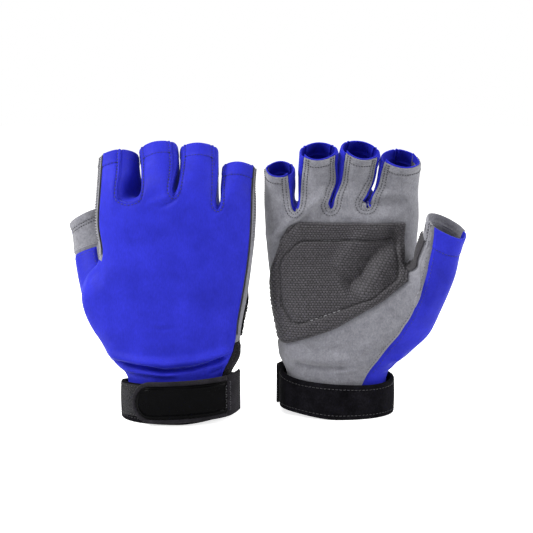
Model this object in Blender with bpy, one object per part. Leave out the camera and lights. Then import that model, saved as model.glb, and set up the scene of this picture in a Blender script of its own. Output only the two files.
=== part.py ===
"""A pair of short-finger sailing gloves, open and standing on their cuffs as if worn.

Both are right-hand gloves, as they are shown: the first turns its back to the front (-Y), the second its palm.
A glove is worked out in its own frame, in millimetres: +X to the little finger, +Y to the palm side, +Z to the
fingertips, with the origin under the wrist. The second glove is turned half a turn about Z.
"""

import math

import bmesh
import bpy
from mathutils import Matrix, Vector

MM = 0.001

# The pair
GLOVE_OFFSET, GLOVE_STAGGER = 46.8, 5.5  # each wrist's distance from the pair's centre along X and along Y
SPLAY = ((-2.3, 0.3), (2.3, -1.8))  # how far each glove's thumb and little-finger sides stand out from the shape below
SPLAY_REACH = ((-28.0, -50.0), (24.0, 44.0))  # x where each of the two begins and where it is complete
SPLAY_FADE = (84.0, 110.0)  # height over which the thumb's one fades from the hand itself
PAIR_SHIFT = (SPLAY[0][0] - SPLAY[1][0]) / 2  # puts the middle of the pair's width at the origin

# Sheets and clearances
FABRIC_THICK = 1.1  # stretch fabric and suede, whose outer face is the hand surface
SEAM_GAP, THUMB_GAP = 0.2, 0.75  # how far each panel stops short of its seam, and the thumb's at its tight crotch
STRIP_THICK, STRIP_TRIM = 0.7, 1.2  # the crotch patch stops further short of its column of faces
PIECE_GAP = 0.35  # between a panel and a piece sewn on it or behind it
PATCH_THICK = 1.2
PAD_THICK = 1.3
PAD_INSET = 7.0  # the pad ends at the patch's inner row of stitches
PATCH_REACH = ((-47.0, 50.0), (36.0, 122.0))  # x and z of the palm's faces that carry the patch and its pad

# Cuff, all round one ellipse; lengths along it count from the little-finger side over the back
CUFF_CENTRE, CUFF_HALF_WIDTH, CUFF_HALF_DEPTH = -0.9, 35.0, 23.5
CUFF_THICK = 2.4
CUFF_TOP, CUFF_TOP_ACROSS, CUFF_DIP = 25.0, 2.0, 3.4  # height, its rise to the little finger, its dip at the palm
CUFF_LIFT = 3.2  # how far the foot rises at the little-finger side
CUFF_SEGMENTS = 48
WRAP_GAP = 0.25
TAPE_THICK = 0.6
LOOP_SPAN, HOOK_SPAN, TAPE_HEIGHT = (21.0, 84.0), (24.0, 64.0), 19.0
STRAP_THICK, STRAP_HEIGHT = 1.3, 25.0
STRAP_SPAN = (2.0, 72.5)
STRAP_BASE, STRAP_SLOPE = 4.6, -0.055  # height of its lower edge at the sewn end, and its fall towards the free end
STRAP_RAMP = (6.0, 18.0)  # where the strap climbs from the cuff onto the tapes
TAB_THICK, TAB_MARGIN, TAB_START = 1.1, 2.8, 17.5
HINGE = (35.4, 0.9)  # x, y of the line where the strap leaves the cuff

# The hand, ring by ring: height, thumb side, little-finger side, back depth, palm depth, x of the palm's blue seam
HAND_RINGS = (
    (6, -31.6, 29.8, 19.8, 19.8, -9),
    (24.5, -31.6, 29.6, 19.5, 19.6, -17.5),
    (34, -41.5, 34.6, 19.4, 21.0, -23.5),
    (46, -49.5, 35.2, 18.8, 21.8, -31.0),
    (58, -57.0, 37.0, 18.2, 22.0, -38.0),
    (76, -60.5, 40.4, 17.6, 20.0, -46.5),
    (95, -49.5, 43.0, 17.0, 16.8, -39.0),
    (113, -49.3, 44.6, 16.2, 15.6, -37.5),
)
ROUNDNESS = (2.0, 2.5)  # exponent of a ring's outline inside the cuff, where it is an ellipse, and over the hand
BULGES = (  # x, z, radius and height of the swells on the palm side
    (-36, 62, 22, 5.5),
    (24, 52, 22, 2.5),
    (2, 92, 20, -4.5),
)
PLACED = {  # (ring, column) of points set by hand: the thumb's root and the vent above the cuff
    (3, 24): (-47.0, 14.5, 45),
    (4, 23): (-38.0, 25.8, 57),
    (4, 24): (-54.5, 14.5, 56),
    (4, 25): (-56.5, -1.0, 58),
    (5, 23): (-43.8, 26.8, 76),
    (5, 25): (-60.5, 0.0, 78),
    (6, 23): (-37.2, 17.2, 91.0),
    (6, 24): (-41.8, 9.2, 94.0),
    (6, 25): (-48.4, 1.6, 95.5),
    (1, 11): (25.6, -10.2, 24.5),
    (2, 11): (28.8, -12.3, 34),
    (3, 11): (33.6, -7.5, 46.5),
    (2, 12): (35.6, -1.0, 36.5),
}

# The fingers at their base: x of left edge, middle and right edge, on the back and on the palm
FINGER_BACK = ((-46.3, -40.4, -34.2), (-22.6, -12.6, -3.6), (-0.4, 10.8, 21.6), (24.8, 33.6, 42.6))
FINGER_PALM = ((-45.0, -34.0, -17.5), (-16.2, -6.5, 3.6), (4.8, 14.0, 23.4), (26.4, 34.0, 42.4))
PALM_COLUMNS = ((-45.0, -34.0, -20.5), (-15.7, -7.0, 1.2), (5.8, 13.8, 23.4), (26.4, 34.0, 42.4))  # the same for the palm's rings
BASE_DEPTH = 15.4
CROTCHES = (130.0, 132.5, 136.5, 128.5, 129.0)  # height at the index side, the three gaps and the little side
PALM_DROPS = (3.0, 3.4, 8.0, 3.0, 3.0)  # how far the webs fall towards the palm at the same places
PALM_DROP = 3.0  # and at the fingers between them
# centre, half width, half depth and sideways tilt of each finger's opening
FINGER_HEMS = (
    ((-37.0, 12.6, 154.4), 11.5, 11.0, 9.0),
    ((-13.0, 14.4, 159.4), 11.5, 11.2, 9.0),
    ((11.4, 14.0, 158.8), 11.2, 10.8, -1.5),
    ((35.2, 10.4, 148.2), 9.6, 9.6, -4.0),
)
# the direction of each finger's eight edges at its opening: left, middle and right of the back, right side,
# right, middle and left of the palm, left side
FINGER_EDGES = (
    (222, 254, 286, 338, 28, 90, 152, 185),
    (206, 258, 314, 350, 28, 90, 152, 178),
    (214, 270, 326, 356, 32, 90, 156, 184),
    (204, 270, 335, 5, 45, 90, 128, 165),
)
SLIT_MOVES = {  # (finger, edge): how far the palm's edges move at each ring, to close the gaps on the palm side
    (0, 4): (0.0, 1.3, 0.9),
    (1, 6): (-2.0, -1.2, 0.0),
    (1, 4): (-2.9, -1.8, -0.4),
    (2, 6): (-2.4, -0.6, 0.1),
}
CURL = 30.0  # how far the openings lean forwards, in degrees

# The thumb, ring by ring: centre, radius, axis, and its eight edges from the back over the inner side and the palm
THUMB_RINGS = (
    ((-53.6, 18.8, 87.2), 13.8, (-0.56, 0.30, 0.77), (194, 238, 282, 326, 22, 40, 58, 126)),
    ((-55.0, 23.6, 96.5), 13.0, (-0.26, 0.34, 0.90), (191, 235, 279, 323, 24, 41, 58, 124)),
    ((-57.2, 27.8, 108.0), 12.6, (-0.34, 0.34, 0.88), (196, 240, 284, 330, 30, 42, 54, 125)),
    ((-59.2, 30.6, 117.0), 13.1, (-0.40, 0.33, 0.85), (193, 237, 281, 328, 20, 32, 44, 122)),
)

# The grip patch, seen from the palm with the thumb at the right: the outline's corners and their rounding
PATCH_OUTLINE = (
    ((40.0, 117.2), 1.2),
    ((38.8, 94.0), 0.6),
    ((41.6, 92.6), 0.6),
    ((41.0, 83.6), 1.2),
    ((26.0, 71.6), 10.0),
    ((-1.0, 55.6), 40.0),
    ((-34.6, 43.8), 5.5),
    ((-40.3, 66.0), 18.0),
    ((-38.9, 89.0), 16.0),
    ((-30.0, 117.6), 11.0),
)

BACK, PALM, THUMB, WEB_1, WEB_2, WEB_3, VENT, STRIP = range(8)
COLOURS = {
    "stretch_blue": ((0.045, 0.05, 0.62), 0.55),
    "suede_grey": ((0.21, 0.21, 0.24), 0.9),
    "grip_black": ((0.055, 0.05, 0.06), 0.7),
    "neoprene_black": ((0.02, 0.018, 0.024), 0.85),
    "foam_grey": ((0.3, 0.3, 0.3), 0.9),
    "tape_black": ((0.012, 0.012, 0.014), 0.95),
    "moulded_black": ((0.006, 0.006, 0.007), 0.25),
}


def clear_scene():
    for obj in list(bpy.data.objects):
        bpy.data.objects.remove(obj)


def make_material(name):
    colour, roughness = COLOURS[name]
    material = bpy.data.materials.new(name)
    material.use_nodes = True
    shader = material.node_tree.nodes["Principled BSDF"]
    shader.inputs["Base Color"].default_value = (*colour, 1)
    shader.inputs["Roughness"].default_value = roughness
    shader.inputs["Metallic"].default_value = 0
    return material


def ramp(value, start, end):
    """A smooth rise from 0 at start to 1 at end."""
    share = min(1.0, max(0.0, (value - start) / (end - start)))
    return share * share * (3 - 2 * share)


# ---------------------------------------------------------------- the hand surface


def dome(share, height):
    """Depth of a ring's outline, from 1 at its middle to 0 at its sides."""
    power = ROUNDNESS[0] + (ROUNDNESS[1] - ROUNDNESS[0]) * ramp(height, 23, 45)
    return max(0.0, 1 - abs(share) ** power) ** (1 / power)


def swell(x, z):
    """How far the palm's bulges and its hollow push the surface out at a point."""
    return sum(h * math.exp(-((x - bx) ** 2 + (z - bz) ** 2) / r**2) for bx, bz, r, h in BULGES)


def spread(values, left, right):
    """Finger-base positions carried to a narrower or wider ring."""
    first, last = FINGER_BACK[0][0] - 2.5, FINGER_BACK[3][2] + 2.5
    return [left + (v - first) / (last - first) * (right - left) for v in values]


def hand_ring(height, left, right, back, palm, seam):
    """26 points round the hand: 12 over the back, the little-finger side, 12 over the palm, the thumb side."""
    centre, half = (left + right) / 2, (right - left) / 2
    back_x = spread([x for finger in FINGER_BACK for x in finger], left, right)
    palm_x = spread([x for finger in PALM_COLUMNS for x in finger], left, right)
    scale = (right - seam) / (right - palm_x[1])
    palm_x = [(left + seam) / 2 - 1.5, seam] + [right - (right - x) * scale for x in palm_x[2:]]
    ring = [Vector((x, -back * dome((x - centre) / half, height), height)) for x in back_x]
    ring.append(Vector((right, 0, height)))
    for x in reversed(palm_x):
        ring.append(Vector((x, palm * dome((x - centre) / half, height) + swell(x, height), height)))
    ring.append(Vector((left, 0, height)))
    return ring


def base_ring():
    """The ring at the finger bases, and the six points down the middle of the three webs."""
    left, right = FINGER_BACK[0][0] - 2.5, FINGER_BACK[3][2] + 2.5
    centre, half = (left + right) / 2, (right - left) / 2
    back, palm, web = [], [], []
    for finger in range(4):
        low, high = CROTCHES[finger], CROTCHES[finger + 1]
        heights = (low, (low + high) / 2 + 2, high)
        for x, z in zip(FINGER_BACK[finger], heights):
            back.append(Vector((x, 0.8 - BASE_DEPTH * dome((x - centre) / half, z), z)))
        for x, z in zip(FINGER_PALM[finger], heights):
            palm.append(Vector((x, 0.8 + BASE_DEPTH * dome((x - centre) / half, z), z)))
        for point, drop in zip(palm[-3:], (PALM_DROPS[finger], PALM_DROP, PALM_DROPS[finger + 1])):
            point.z -= drop
    for gap in range(3):
        for side in (3 * gap + 2, 3 * gap + 3):
            middle = (back[side] + palm[side]) / 2
            web.append(Vector((middle.x, middle.y, middle.z + 2)))
    ring = back + [Vector((right, 1, CROTCHES[4]))] + palm[::-1] + [Vector((left, 1, CROTCHES[0]))]
    return ring, web


def round_ring(centre, axis, across, depth, edges):
    """Points round an axis in the given directions, counted in degrees from the right towards the palm."""
    axis = Vector(axis).normalized()
    forward = axis.cross(Vector((1, 0, 0))).normalized()
    right = forward.cross(axis).normalized()
    ring = []
    for edge in edges:
        angle = math.radians(edge)
        ring.append(Vector(centre) + right * across * math.cos(angle) + forward * depth * math.sin(angle))
    return ring


def finger_rings(finger, base):
    """Rings from a finger's base to its opening: the outline changes evenly and the finger bends forwards."""
    centre, width, depth, tilt = FINGER_HEMS[finger]
    lean, roll = math.radians(CURL), math.radians(tilt)
    axis = Vector((-math.sin(roll), math.sin(lean) * math.cos(roll), math.cos(lean) * math.cos(roll)))
    end = round_ring(centre, axis, width, depth, FINGER_EDGES[finger])
    root = sum(base, Vector()) / 8
    control = root + Vector((0, 0.5, (centre[2] - root.z) * 0.55))
    rings = []
    for number, share in enumerate((0.36, 0.7, 1.0)):
        path = root * (1 - share) ** 2 + control * 2 * share * (1 - share) + Vector(centre) * share**2
        blend = share * (2 - share)
        rings.append([path + (b - root) * (1 - blend) + (e - Vector(centre)) * blend for b, e in zip(base, end)])
        for edge in (4, 6):
            rings[-1][edge].x += SLIT_MOVES.get((finger, edge), (0, 0, 0))[number]
    return rings


def hand_panel(level, column):
    """The panel of the face above a ring, between a column and the next; None where the thumb leaves."""
    if column in (23, 24):
        if level in (4, 5):
            return None
        return BACK if level < 4 else PALM
    if column == 25:
        return BACK if level < 6 else PALM
    if column == 11:
        return (BACK, VENT, VENT)[level] if level < 3 else PALM
    return BACK if column < 11 else PALM


def surface_points(splay):
    """All points of the control surface, and its faces as (corners, panel)."""
    points, faces = [], []

    def add(ring):
        points.extend(ring)
        return list(range(len(points) - len(ring), len(points)))

    def bridge(lower, upper, panels):
        for i, panel in enumerate(panels):
            j = (i + 1) % len(lower)
            if panel is not None:
                faces.append(((lower[i], lower[j], upper[j], upper[i]), panel))

    hand = [hand_ring(*ring) for ring in HAND_RINGS]
    for (level, column), place in PLACED.items():
        hand[level][column] = Vector(place)
    fingers_base, web = base_ring()
    for ring in hand:
        for point in ring:
            point.x -= splay[0] * ramp(point.x, *SPLAY_REACH[0]) * (1 - ramp(point.z, *SPLAY_FADE))
    rings = [add(ring) for ring in hand] + [add(fingers_base)]
    webs = add(web)
    for level in range(len(rings) - 1):
        bridge(rings[level], rings[level + 1], [hand_panel(level, column) for column in range(26)])
    top = rings[-1]
    for finger in range(4):
        back, palm = top[3 * finger : 3 * finger + 3], [top[24 - 3 * finger - k] for k in range(3)]
        right = webs[2 * finger] if finger < 3 else top[12]
        left = webs[2 * finger - 1] if finger > 0 else top[25]
        lower = back + [right] + palm[::-1] + [left]
        left_side = (PALM, WEB_1, WEB_2, WEB_3)[finger]
        right_side = (WEB_1, WEB_2, WEB_3, PALM)[finger]
        panels = [BACK, BACK, right_side, right_side, PALM, PALM, left_side, left_side]
        base = [points[i] for i in lower]
        for ring in finger_rings(finger, base):
            upper = add(ring)
            bridge(lower, upper, panels)
            lower = upper
    for gap in range(3):
        a, b, c, d = top[3 * gap + 2], top[3 * gap + 3], webs[2 * gap + 1], webs[2 * gap]
        faces.append(((a, b, c, d), WEB_1 + gap))
        faces.append(((d, c, top[21 - 3 * gap], top[22 - 3 * gap]), WEB_1 + gap))
    root = ((4, 25), (5, 25), (6, 25), (6, 24), (6, 23), (5, 23), (4, 23), (4, 24))
    lower = [rings[level][column] for level, column in root]
    for number, (centre, radius, axis, edges) in enumerate(THUMB_RINGS):
        centre = Vector(centre) - Vector((splay[0], 0, 0))
        upper = add(round_ring(centre, axis, radius, radius, edges))
        behind = BACK if number < 2 else THUMB
        inner = STRIP if number < 3 else THUMB
        bridge(lower, upper, [behind, behind, THUMB, inner, PALM, PALM, BACK, BACK])
        lower = upper
    for point in points:
        point.x += splay[1] * ramp(point.x, *SPLAY_REACH[1])
    return points, faces


def smoothed(mesh):
    """The mesh after one Catmull-Clark step, in which its own vertices come first and are at their limit."""
    helper = bpy.data.objects.new("helper", mesh)
    bpy.context.scene.collection.objects.link(helper)
    subdivision = helper.modifiers.new("round", "SUBSURF")
    subdivision.levels = subdivision.render_levels = 1
    graph = bpy.context.evaluated_depsgraph_get()
    result = bpy.data.meshes.new_from_object(helper.evaluated_get(graph))
    bpy.data.objects.remove(helper)
    return result


def hand_surface(splay):
    """The smooth surface of one glove, through the points above, with a panel number on each face."""
    points, faces = surface_points(splay)
    mesh = bpy.data.meshes.new("control_surface")
    mesh.from_pydata([p * MM for p in points], [], [corners for corners, _ in faces])
    mesh.polygons.foreach_set("material_index", [panel for _, panel in faces])
    targets = [vertex.co.copy() for vertex in mesh.vertices]
    for _ in range(4):
        reached = smoothed(mesh)
        for vertex, target in zip(mesh.vertices, targets):
            vertex.co += target - reached.vertices[vertex.index].co
        mesh.update()
    return smoothed(mesh)


# ---------------------------------------------------------------- sewn pieces


def within(place, reach):
    """Whether a place's x and z lie in the two given ranges, in millimetres."""
    return all(low * MM < value < high * MM for value, (low, high) in zip((place.x, place.z), reach))


def layer(surface, panels, inner, outer, trim=SEAM_GAP, reach=((-99.0, 99.0), (0.0, 200.0))):
    """A closed sheet over some panels' faces in reach, between two distances from the surface, in millimetres."""
    chosen = [f for f in surface.polygons if f.material_index in panels and within(f.center, reach)]
    used = sorted({v for face in chosen for v in face.vertices})
    number = {v: i for i, v in enumerate(used)}
    edges, middles = set(), {v: [] for v in used}
    for face in chosen:
        corners = list(face.vertices)
        for a, b in zip(corners, corners[1:] + corners[:1]):
            edges.add((a, b))
            middles[a].append(face.center)
    rim = sorted((a, b) for a, b in edges if (b, a) not in edges)
    on_rim = {v for edge in rim for v in edge}
    sheets = []
    for distance in (outer, inner):
        for v in used:
            place, normal = surface.vertices[v].co.copy(), surface.vertices[v].normal
            if v in on_rim:
                inward = sum(middles[v], Vector()) / len(middles[v]) - place
                inward -= normal * inward.dot(normal)
                place += inward.normalized() * trim * MM
            sheets.append(place + normal * distance * MM)
    count = len(used)
    corners = [[number[v] for v in face.vertices] for face in chosen]
    halves = [half for a, b, c, d in corners for half in ((a, b, c), (a, c, d))]  # alike in every layer
    walls = []
    for a, b in ((number[a], number[b]) for a, b in rim):
        walls += [(b, a, a + count), (b, a + count, b + count)]
    mesh = bpy.data.meshes.new("layer")
    mesh.from_pydata(sheets, [], halves + [(c + count, b + count, a + count) for a, b, c in halves] + walls)
    return mesh


def rounded(outline, inset=0.0, steps=4):
    """Points of an outline whose corners are rounded, each corner given as (place, radius), all moved inwards."""
    points = []
    count = len(outline)
    for i, (corner, radius) in enumerate(outline):
        corner = Vector(corner)
        before = (Vector(outline[i - 1][0]) - corner).normalized()
        after = (Vector(outline[(i + 1) % count][0]) - corner).normalized()
        convex = 1 if before.x * after.y - before.y * after.x > 0 else -1
        half = before.angle(after) / 2
        bisector = (before + after).normalized()
        corner = corner + bisector * convex * inset / math.sin(half)
        radius = max(radius - convex * inset, 0.5)
        centre = corner + bisector * radius / math.sin(half)
        start = corner + before * radius / math.tan(half) - centre
        for step in range(steps + 1):
            angle = -convex * (math.pi - 2 * half) * step / steps
            cos, sin = math.cos(angle), math.sin(angle)
            points.append(centre + Vector((start.x * cos - start.y * sin, start.x * sin + start.y * cos)))
    return points


def outward(mesh):
    """Turns a closed mesh's faces outwards."""
    shape = bmesh.new()
    shape.from_mesh(mesh)
    bmesh.ops.recalc_face_normals(shape, faces=shape.faces)
    shape.to_mesh(mesh)
    shape.free()
    return mesh


def prism(outline, near, far):
    """A cutter: an outline in x and z, seen from the palm, drawn out along y."""
    points = [Vector((-p.x, y, p.y)) * MM for y in (near, far) for p in outline]
    count = len(outline)
    faces = [list(range(count)), list(range(2 * count - 1, count - 1, -1))]
    faces += [[i, i + count, (i + 1) % count + count, (i + 1) % count] for i in range(count)]
    mesh = bpy.data.meshes.new("cutter")
    mesh.from_pydata(points, [], faces)
    return outward(mesh)


def shared_part(mesh, cutter):
    """What a mesh and a cutter have in common."""
    body, tool = bpy.data.objects.new("body", mesh), bpy.data.objects.new("tool", cutter)
    for obj in (body, tool):
        bpy.context.scene.collection.objects.link(obj)
    cut = body.modifiers.new("cut", "BOOLEAN")
    cut.operation, cut.object, cut.solver = "INTERSECT", tool, "EXACT"
    graph = bpy.context.evaluated_depsgraph_get()
    result = bpy.data.meshes.new_from_object(body.evaluated_get(graph))
    for obj in (body, tool):
        bpy.data.objects.remove(obj)
    return result


# ---------------------------------------------------------------- cuff and strap


def cuff_table(steps=720):
    """Points of the cuff's outer ellipse from its little-finger side, over the back, each with its arc length."""
    table, length, last = [], 0.0, None
    for step in range(steps + 1):
        angle = -2 * math.pi * step / steps
        place = Vector((CUFF_HALF_WIDTH * math.cos(angle), CUFF_HALF_DEPTH * math.sin(angle)))
        length += (place - last).length if last else 0.0
        normal = Vector((place.x / CUFF_HALF_WIDTH**2, place.y / CUFF_HALF_DEPTH**2)).normalized()
        table.append((length, place, normal))
        last = place
    return table


CUFF_LINE = cuff_table()


def on_cuff(along, height, out):
    """The point at an arc length along the cuff's outer face, that far out from it."""
    along %= CUFF_LINE[-1][0]
    for (a, p, n), (b, q, m) in zip(CUFF_LINE, CUFF_LINE[1:]):
        if along <= b:
            share = (along - a) / (b - a)
            spot = p.lerp(q, share) + n.lerp(m, share).normalized() * out
            return Vector((CUFF_CENTRE + spot.x, spot.y, height))
    raise ValueError("arc length beyond the cuff")


def cuff_band():
    """The cuff's neoprene band: a closed ring whose foot lifts a little at the little-finger side."""
    points, faces = [], []
    for i in range(CUFF_SEGMENTS):
        along = CUFF_LINE[-1][0] * i / CUFF_SEGMENTS
        spot = on_cuff(along, 0, 0)
        across, palm = (spot.x - CUFF_CENTRE) / CUFF_HALF_WIDTH, spot.y / CUFF_HALF_DEPTH
        foot = CUFF_LIFT * ramp(across, 0, 1)
        top = CUFF_TOP + CUFF_TOP_ACROSS * across - CUFF_DIP * ramp(palm, -0.3, 1)
        for height, out in ((foot, -CUFF_THICK), (foot, 0), (top, 0), (top, -CUFF_THICK)):
            points.append(on_cuff(along, height, out) * MM)
    for i in range(CUFF_SEGMENTS):
        j = (i + 1) % CUFF_SEGMENTS
        for k in range(4):
            m = (k + 1) % 4
            faces.append((4 * i + k, 4 * i + m, 4 * j + m, 4 * j + k))
    mesh = bpy.data.meshes.new("cuff_band")
    mesh.from_pydata(points, [], faces)
    return outward(mesh)


def wrapped(outline, inner, outer, drop=0.0, spacing=3.4):
    """A plate with an outline of (along, height) points, bent round the cuff between two distances from it.

    The drop is how much nearer the cuff it lies at its sewn end, before the tapes begin.
    """
    shape = bmesh.new()
    shape.faces.new([shape.verts.new((p[0], p[1], 0)) for p in outline])
    low, high = min(p[0] for p in outline), max(p[0] for p in outline)
    cuts = max(2, round((high - low) / spacing))
    for i in range(1, cuts):
        place = (low + (high - low) * i / cuts, 0, 0)
        geometry = shape.verts[:] + shape.edges[:] + shape.faces[:]
        bmesh.ops.bisect_plane(shape, geom=geometry, dist=1e-5, plane_co=place, plane_no=(1, 0, 0))
    bmesh.ops.remove_doubles(shape, verts=shape.verts, dist=0.02)
    grown = bmesh.ops.extrude_face_region(shape, geom=shape.faces[:], use_keep_orig=True)
    for vertex in (v for v in grown["geom"] if isinstance(v, bmesh.types.BMVert)):
        vertex.co.z = 1
    for vertex in shape.verts:
        out = inner + (outer - inner) * vertex.co.z - drop * (1 - ramp(vertex.co.x, *STRAP_RAMP))
        vertex.co = on_cuff(vertex.co.x, vertex.co.y, out) * MM
    mesh = bpy.data.meshes.new("wrapped")
    shape.to_mesh(mesh)
    shape.free()
    return outward(mesh)


def strap_outline(start, margin=0.0):
    """The strap laid flat: square at its sewn end, round at its free end, falling slightly towards it."""
    end, half = STRAP_SPAN[1] - margin, STRAP_HEIGHT / 2 - margin
    middle, bend = STRAP_BASE + STRAP_HEIGHT / 2, half * 0.92
    points = [(start, -half), (end - bend, -half)]
    for step in range(1, 12):
        angle = -math.pi / 2 + math.pi * step / 12
        points.append((end - bend + bend * math.cos(angle), half * math.sin(angle)))
    points += [(end - bend, half), (start, half)]
    return [(s, middle + STRAP_SLOPE * s + z) for s, z in points]


def tape_outline(span):
    """A tape laid flat, following the strap's slope."""
    (start, end), half = span, TAPE_HEIGHT / 2
    middle = STRAP_BASE + STRAP_HEIGHT / 2
    corners = ((start, -half), (end, -half), (end, half), (start, half))
    return [(s, middle + STRAP_SLOPE * min(s, STRAP_SPAN[1]) + z) for s, z in corners]


def cuff_pieces():
    """The loop tape, then the pieces that lift with the strap, each as (mesh, material)."""
    loop = WRAP_GAP + TAPE_THICK
    hook = loop + WRAP_GAP + TAPE_THICK
    strap = hook + WRAP_GAP + STRAP_THICK
    tab = strap + WRAP_GAP + TAB_THICK
    strap_flat, tab_flat = strap_outline(STRAP_SPAN[0]), strap_outline(TAB_START, TAB_MARGIN)
    loop_tape = (wrapped(tape_outline(LOOP_SPAN), WRAP_GAP, loop), "tape_black")
    return loop_tape, {
        "closure_strap": (wrapped(strap_flat, strap - STRAP_THICK, strap, hook), "neoprene_black"),
        "hook_tape": (wrapped(tape_outline(HOOK_SPAN), hook - TAPE_THICK, hook), "tape_black"),
        "strap_tab": (wrapped(tab_flat, tab - TAB_THICK, tab, hook), "moulded_black"),
    }


# ---------------------------------------------------------------- the pair


def hand_pieces(splay):
    """The pieces over one hand, each as (mesh, material)."""
    surface = hand_surface(splay)
    behind = -FABRIC_THICK - PIECE_GAP
    over_palm = layer(surface, {PALM}, PIECE_GAP, PIECE_GAP + PATCH_THICK, reach=PATCH_REACH)
    under_palm = layer(surface, {PALM}, behind - PAD_THICK, behind, reach=PATCH_REACH)
    strip = layer(surface, {STRIP}, PIECE_GAP, PIECE_GAP + STRIP_THICK, STRIP_TRIM)
    patch, pad = rounded(PATCH_OUTLINE), rounded(PATCH_OUTLINE[:1] + PATCH_OUTLINE[3:], PAD_INSET)
    panels = {
        "back_panel": ({BACK}, "stretch_blue"),
        "palm_panel": ({PALM}, "suede_grey"),
        "fourchette_index_middle": ({WEB_1}, "stretch_blue"),
        "fourchette_middle_ring": ({WEB_2}, "stretch_blue"),
        "fourchette_ring_little": ({WEB_3}, "stretch_blue"),
        "vent_gusset": ({VENT}, "neoprene_black"),
    }
    pieces = {name: (layer(surface, which, -FABRIC_THICK, 0), cloth) for name, (which, cloth) in panels.items()}
    pieces["thumb_panel"] = (layer(surface, {THUMB, STRIP}, -FABRIC_THICK, 0, THUMB_GAP), "suede_grey")
    pieces["palm_patch"] = (shared_part(over_palm, prism(patch, 3, 60)), "grip_black")
    pieces["palm_pad"] = (shared_part(under_palm, prism(pad, 3, 60)), "foam_grey")
    pieces["thumb_crotch_patch"] = (strip, "grip_black")
    return pieces


def add_piece(name, mesh, material, parent):
    obj = bpy.data.objects.new(name, mesh)
    bpy.context.scene.collection.objects.link(obj)
    mesh.polygons.foreach_set("material_index", [0] * len(mesh.polygons))
    mesh.materials.clear()
    mesh.materials.append(material)
    mesh.shade_smooth()
    mesh.set_sharp_from_angle(angle=math.radians(40))
    obj.parent = parent


def add_frame(name, place, turn=0.0, parent=None):
    """An empty that carries a glove or a strap."""
    frame = bpy.data.objects.new(name, None)
    frame.location, frame.rotation_euler, frame.parent = place, (0, 0, turn), parent
    bpy.context.scene.collection.objects.link(frame)
    return frame


def build():
    clear_scene()
    materials = {name: make_material(name) for name in COLOURS}
    band, (loop_tape, moving) = cuff_band(), cuff_pieces()
    hinge = Vector((*HINGE, 0)) * MM
    for mesh, _ in moving.values():
        mesh.transform(Matrix.Translation(-hinge))
    for number, (side, turn) in enumerate(((-1, 0), (1, math.pi))):
        name = f"glove_{number + 1}"
        glove = add_frame(name, Vector((side * GLOVE_OFFSET + PAIR_SHIFT, side * GLOVE_STAGGER, 0)) * MM, turn)
        joint = add_frame(f"{name}_strap_hinge", hinge, parent=glove)
        fixed = hand_pieces(SPLAY[number])
        fixed |= {"cuff_band": (band, "neoprene_black"), "loop_tape": loop_tape}
        for parent, pieces in ((glove, fixed), (joint, moving)):
            for piece, (mesh, material) in pieces.items():
                add_piece(f"{name}_{piece}", mesh, materials[material], parent)


build()
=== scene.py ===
"""The looks of a pair of short-finger sailing gloves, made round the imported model.

Each glove is worked out in its own frame, in millimetres: +X to the little finger, +Y to the palm side and
+Z to the fingertips. The sewn panels share one smooth surface, made from the same control points as the
model's. Folds, hems, seams and padding are moves of that surface's points, and the stitches are meshes.
"""

import math
import random

import bpy
import numpy as np
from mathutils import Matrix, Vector, noise
from mathutils.bvhtree import BVHTree
from mathutils.geometry import delaunay_2d_cdt
from mathutils.kdtree import KDTree


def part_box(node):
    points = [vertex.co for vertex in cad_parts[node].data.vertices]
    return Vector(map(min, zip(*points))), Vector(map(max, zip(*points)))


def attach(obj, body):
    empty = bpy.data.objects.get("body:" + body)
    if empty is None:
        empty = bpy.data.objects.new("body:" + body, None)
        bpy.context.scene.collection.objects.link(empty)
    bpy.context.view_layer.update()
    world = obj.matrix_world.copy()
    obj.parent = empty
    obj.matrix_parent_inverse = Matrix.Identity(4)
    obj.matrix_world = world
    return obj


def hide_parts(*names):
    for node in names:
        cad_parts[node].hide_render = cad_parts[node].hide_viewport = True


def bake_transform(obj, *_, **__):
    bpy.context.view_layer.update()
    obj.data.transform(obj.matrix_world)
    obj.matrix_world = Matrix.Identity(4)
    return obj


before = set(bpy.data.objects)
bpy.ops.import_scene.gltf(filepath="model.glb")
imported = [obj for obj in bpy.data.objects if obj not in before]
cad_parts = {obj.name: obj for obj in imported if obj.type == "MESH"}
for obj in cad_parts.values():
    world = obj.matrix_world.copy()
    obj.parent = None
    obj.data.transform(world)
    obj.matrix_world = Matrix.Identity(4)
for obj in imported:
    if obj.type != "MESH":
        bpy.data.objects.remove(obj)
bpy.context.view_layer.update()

MM = 0.001
FINE = 4  # subdivision level of the sewn panels

# The gloves' differences, as in the model: how far the thumb and little-finger sides stand out
SPLAY = ((-2.3, 0.3), (2.3, -1.8))
SPLAY_REACH = ((-28.0, -50.0), (24.0, 44.0))
SPLAY_FADE = (84.0, 110.0)

# Sheets and clearances
FABRIC_THICK = 1.1
SEAM_GAP = 0.03
PIECE_GAP = 0.35
LINING_DEPTHS = (1.125, 1.675)  # of a turned-in lining's two faces, inside the cloth's outer face
PATCH_THICK, PAD_THICK, PAD_INSET = 1.2, 1.3, 7.0

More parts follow.
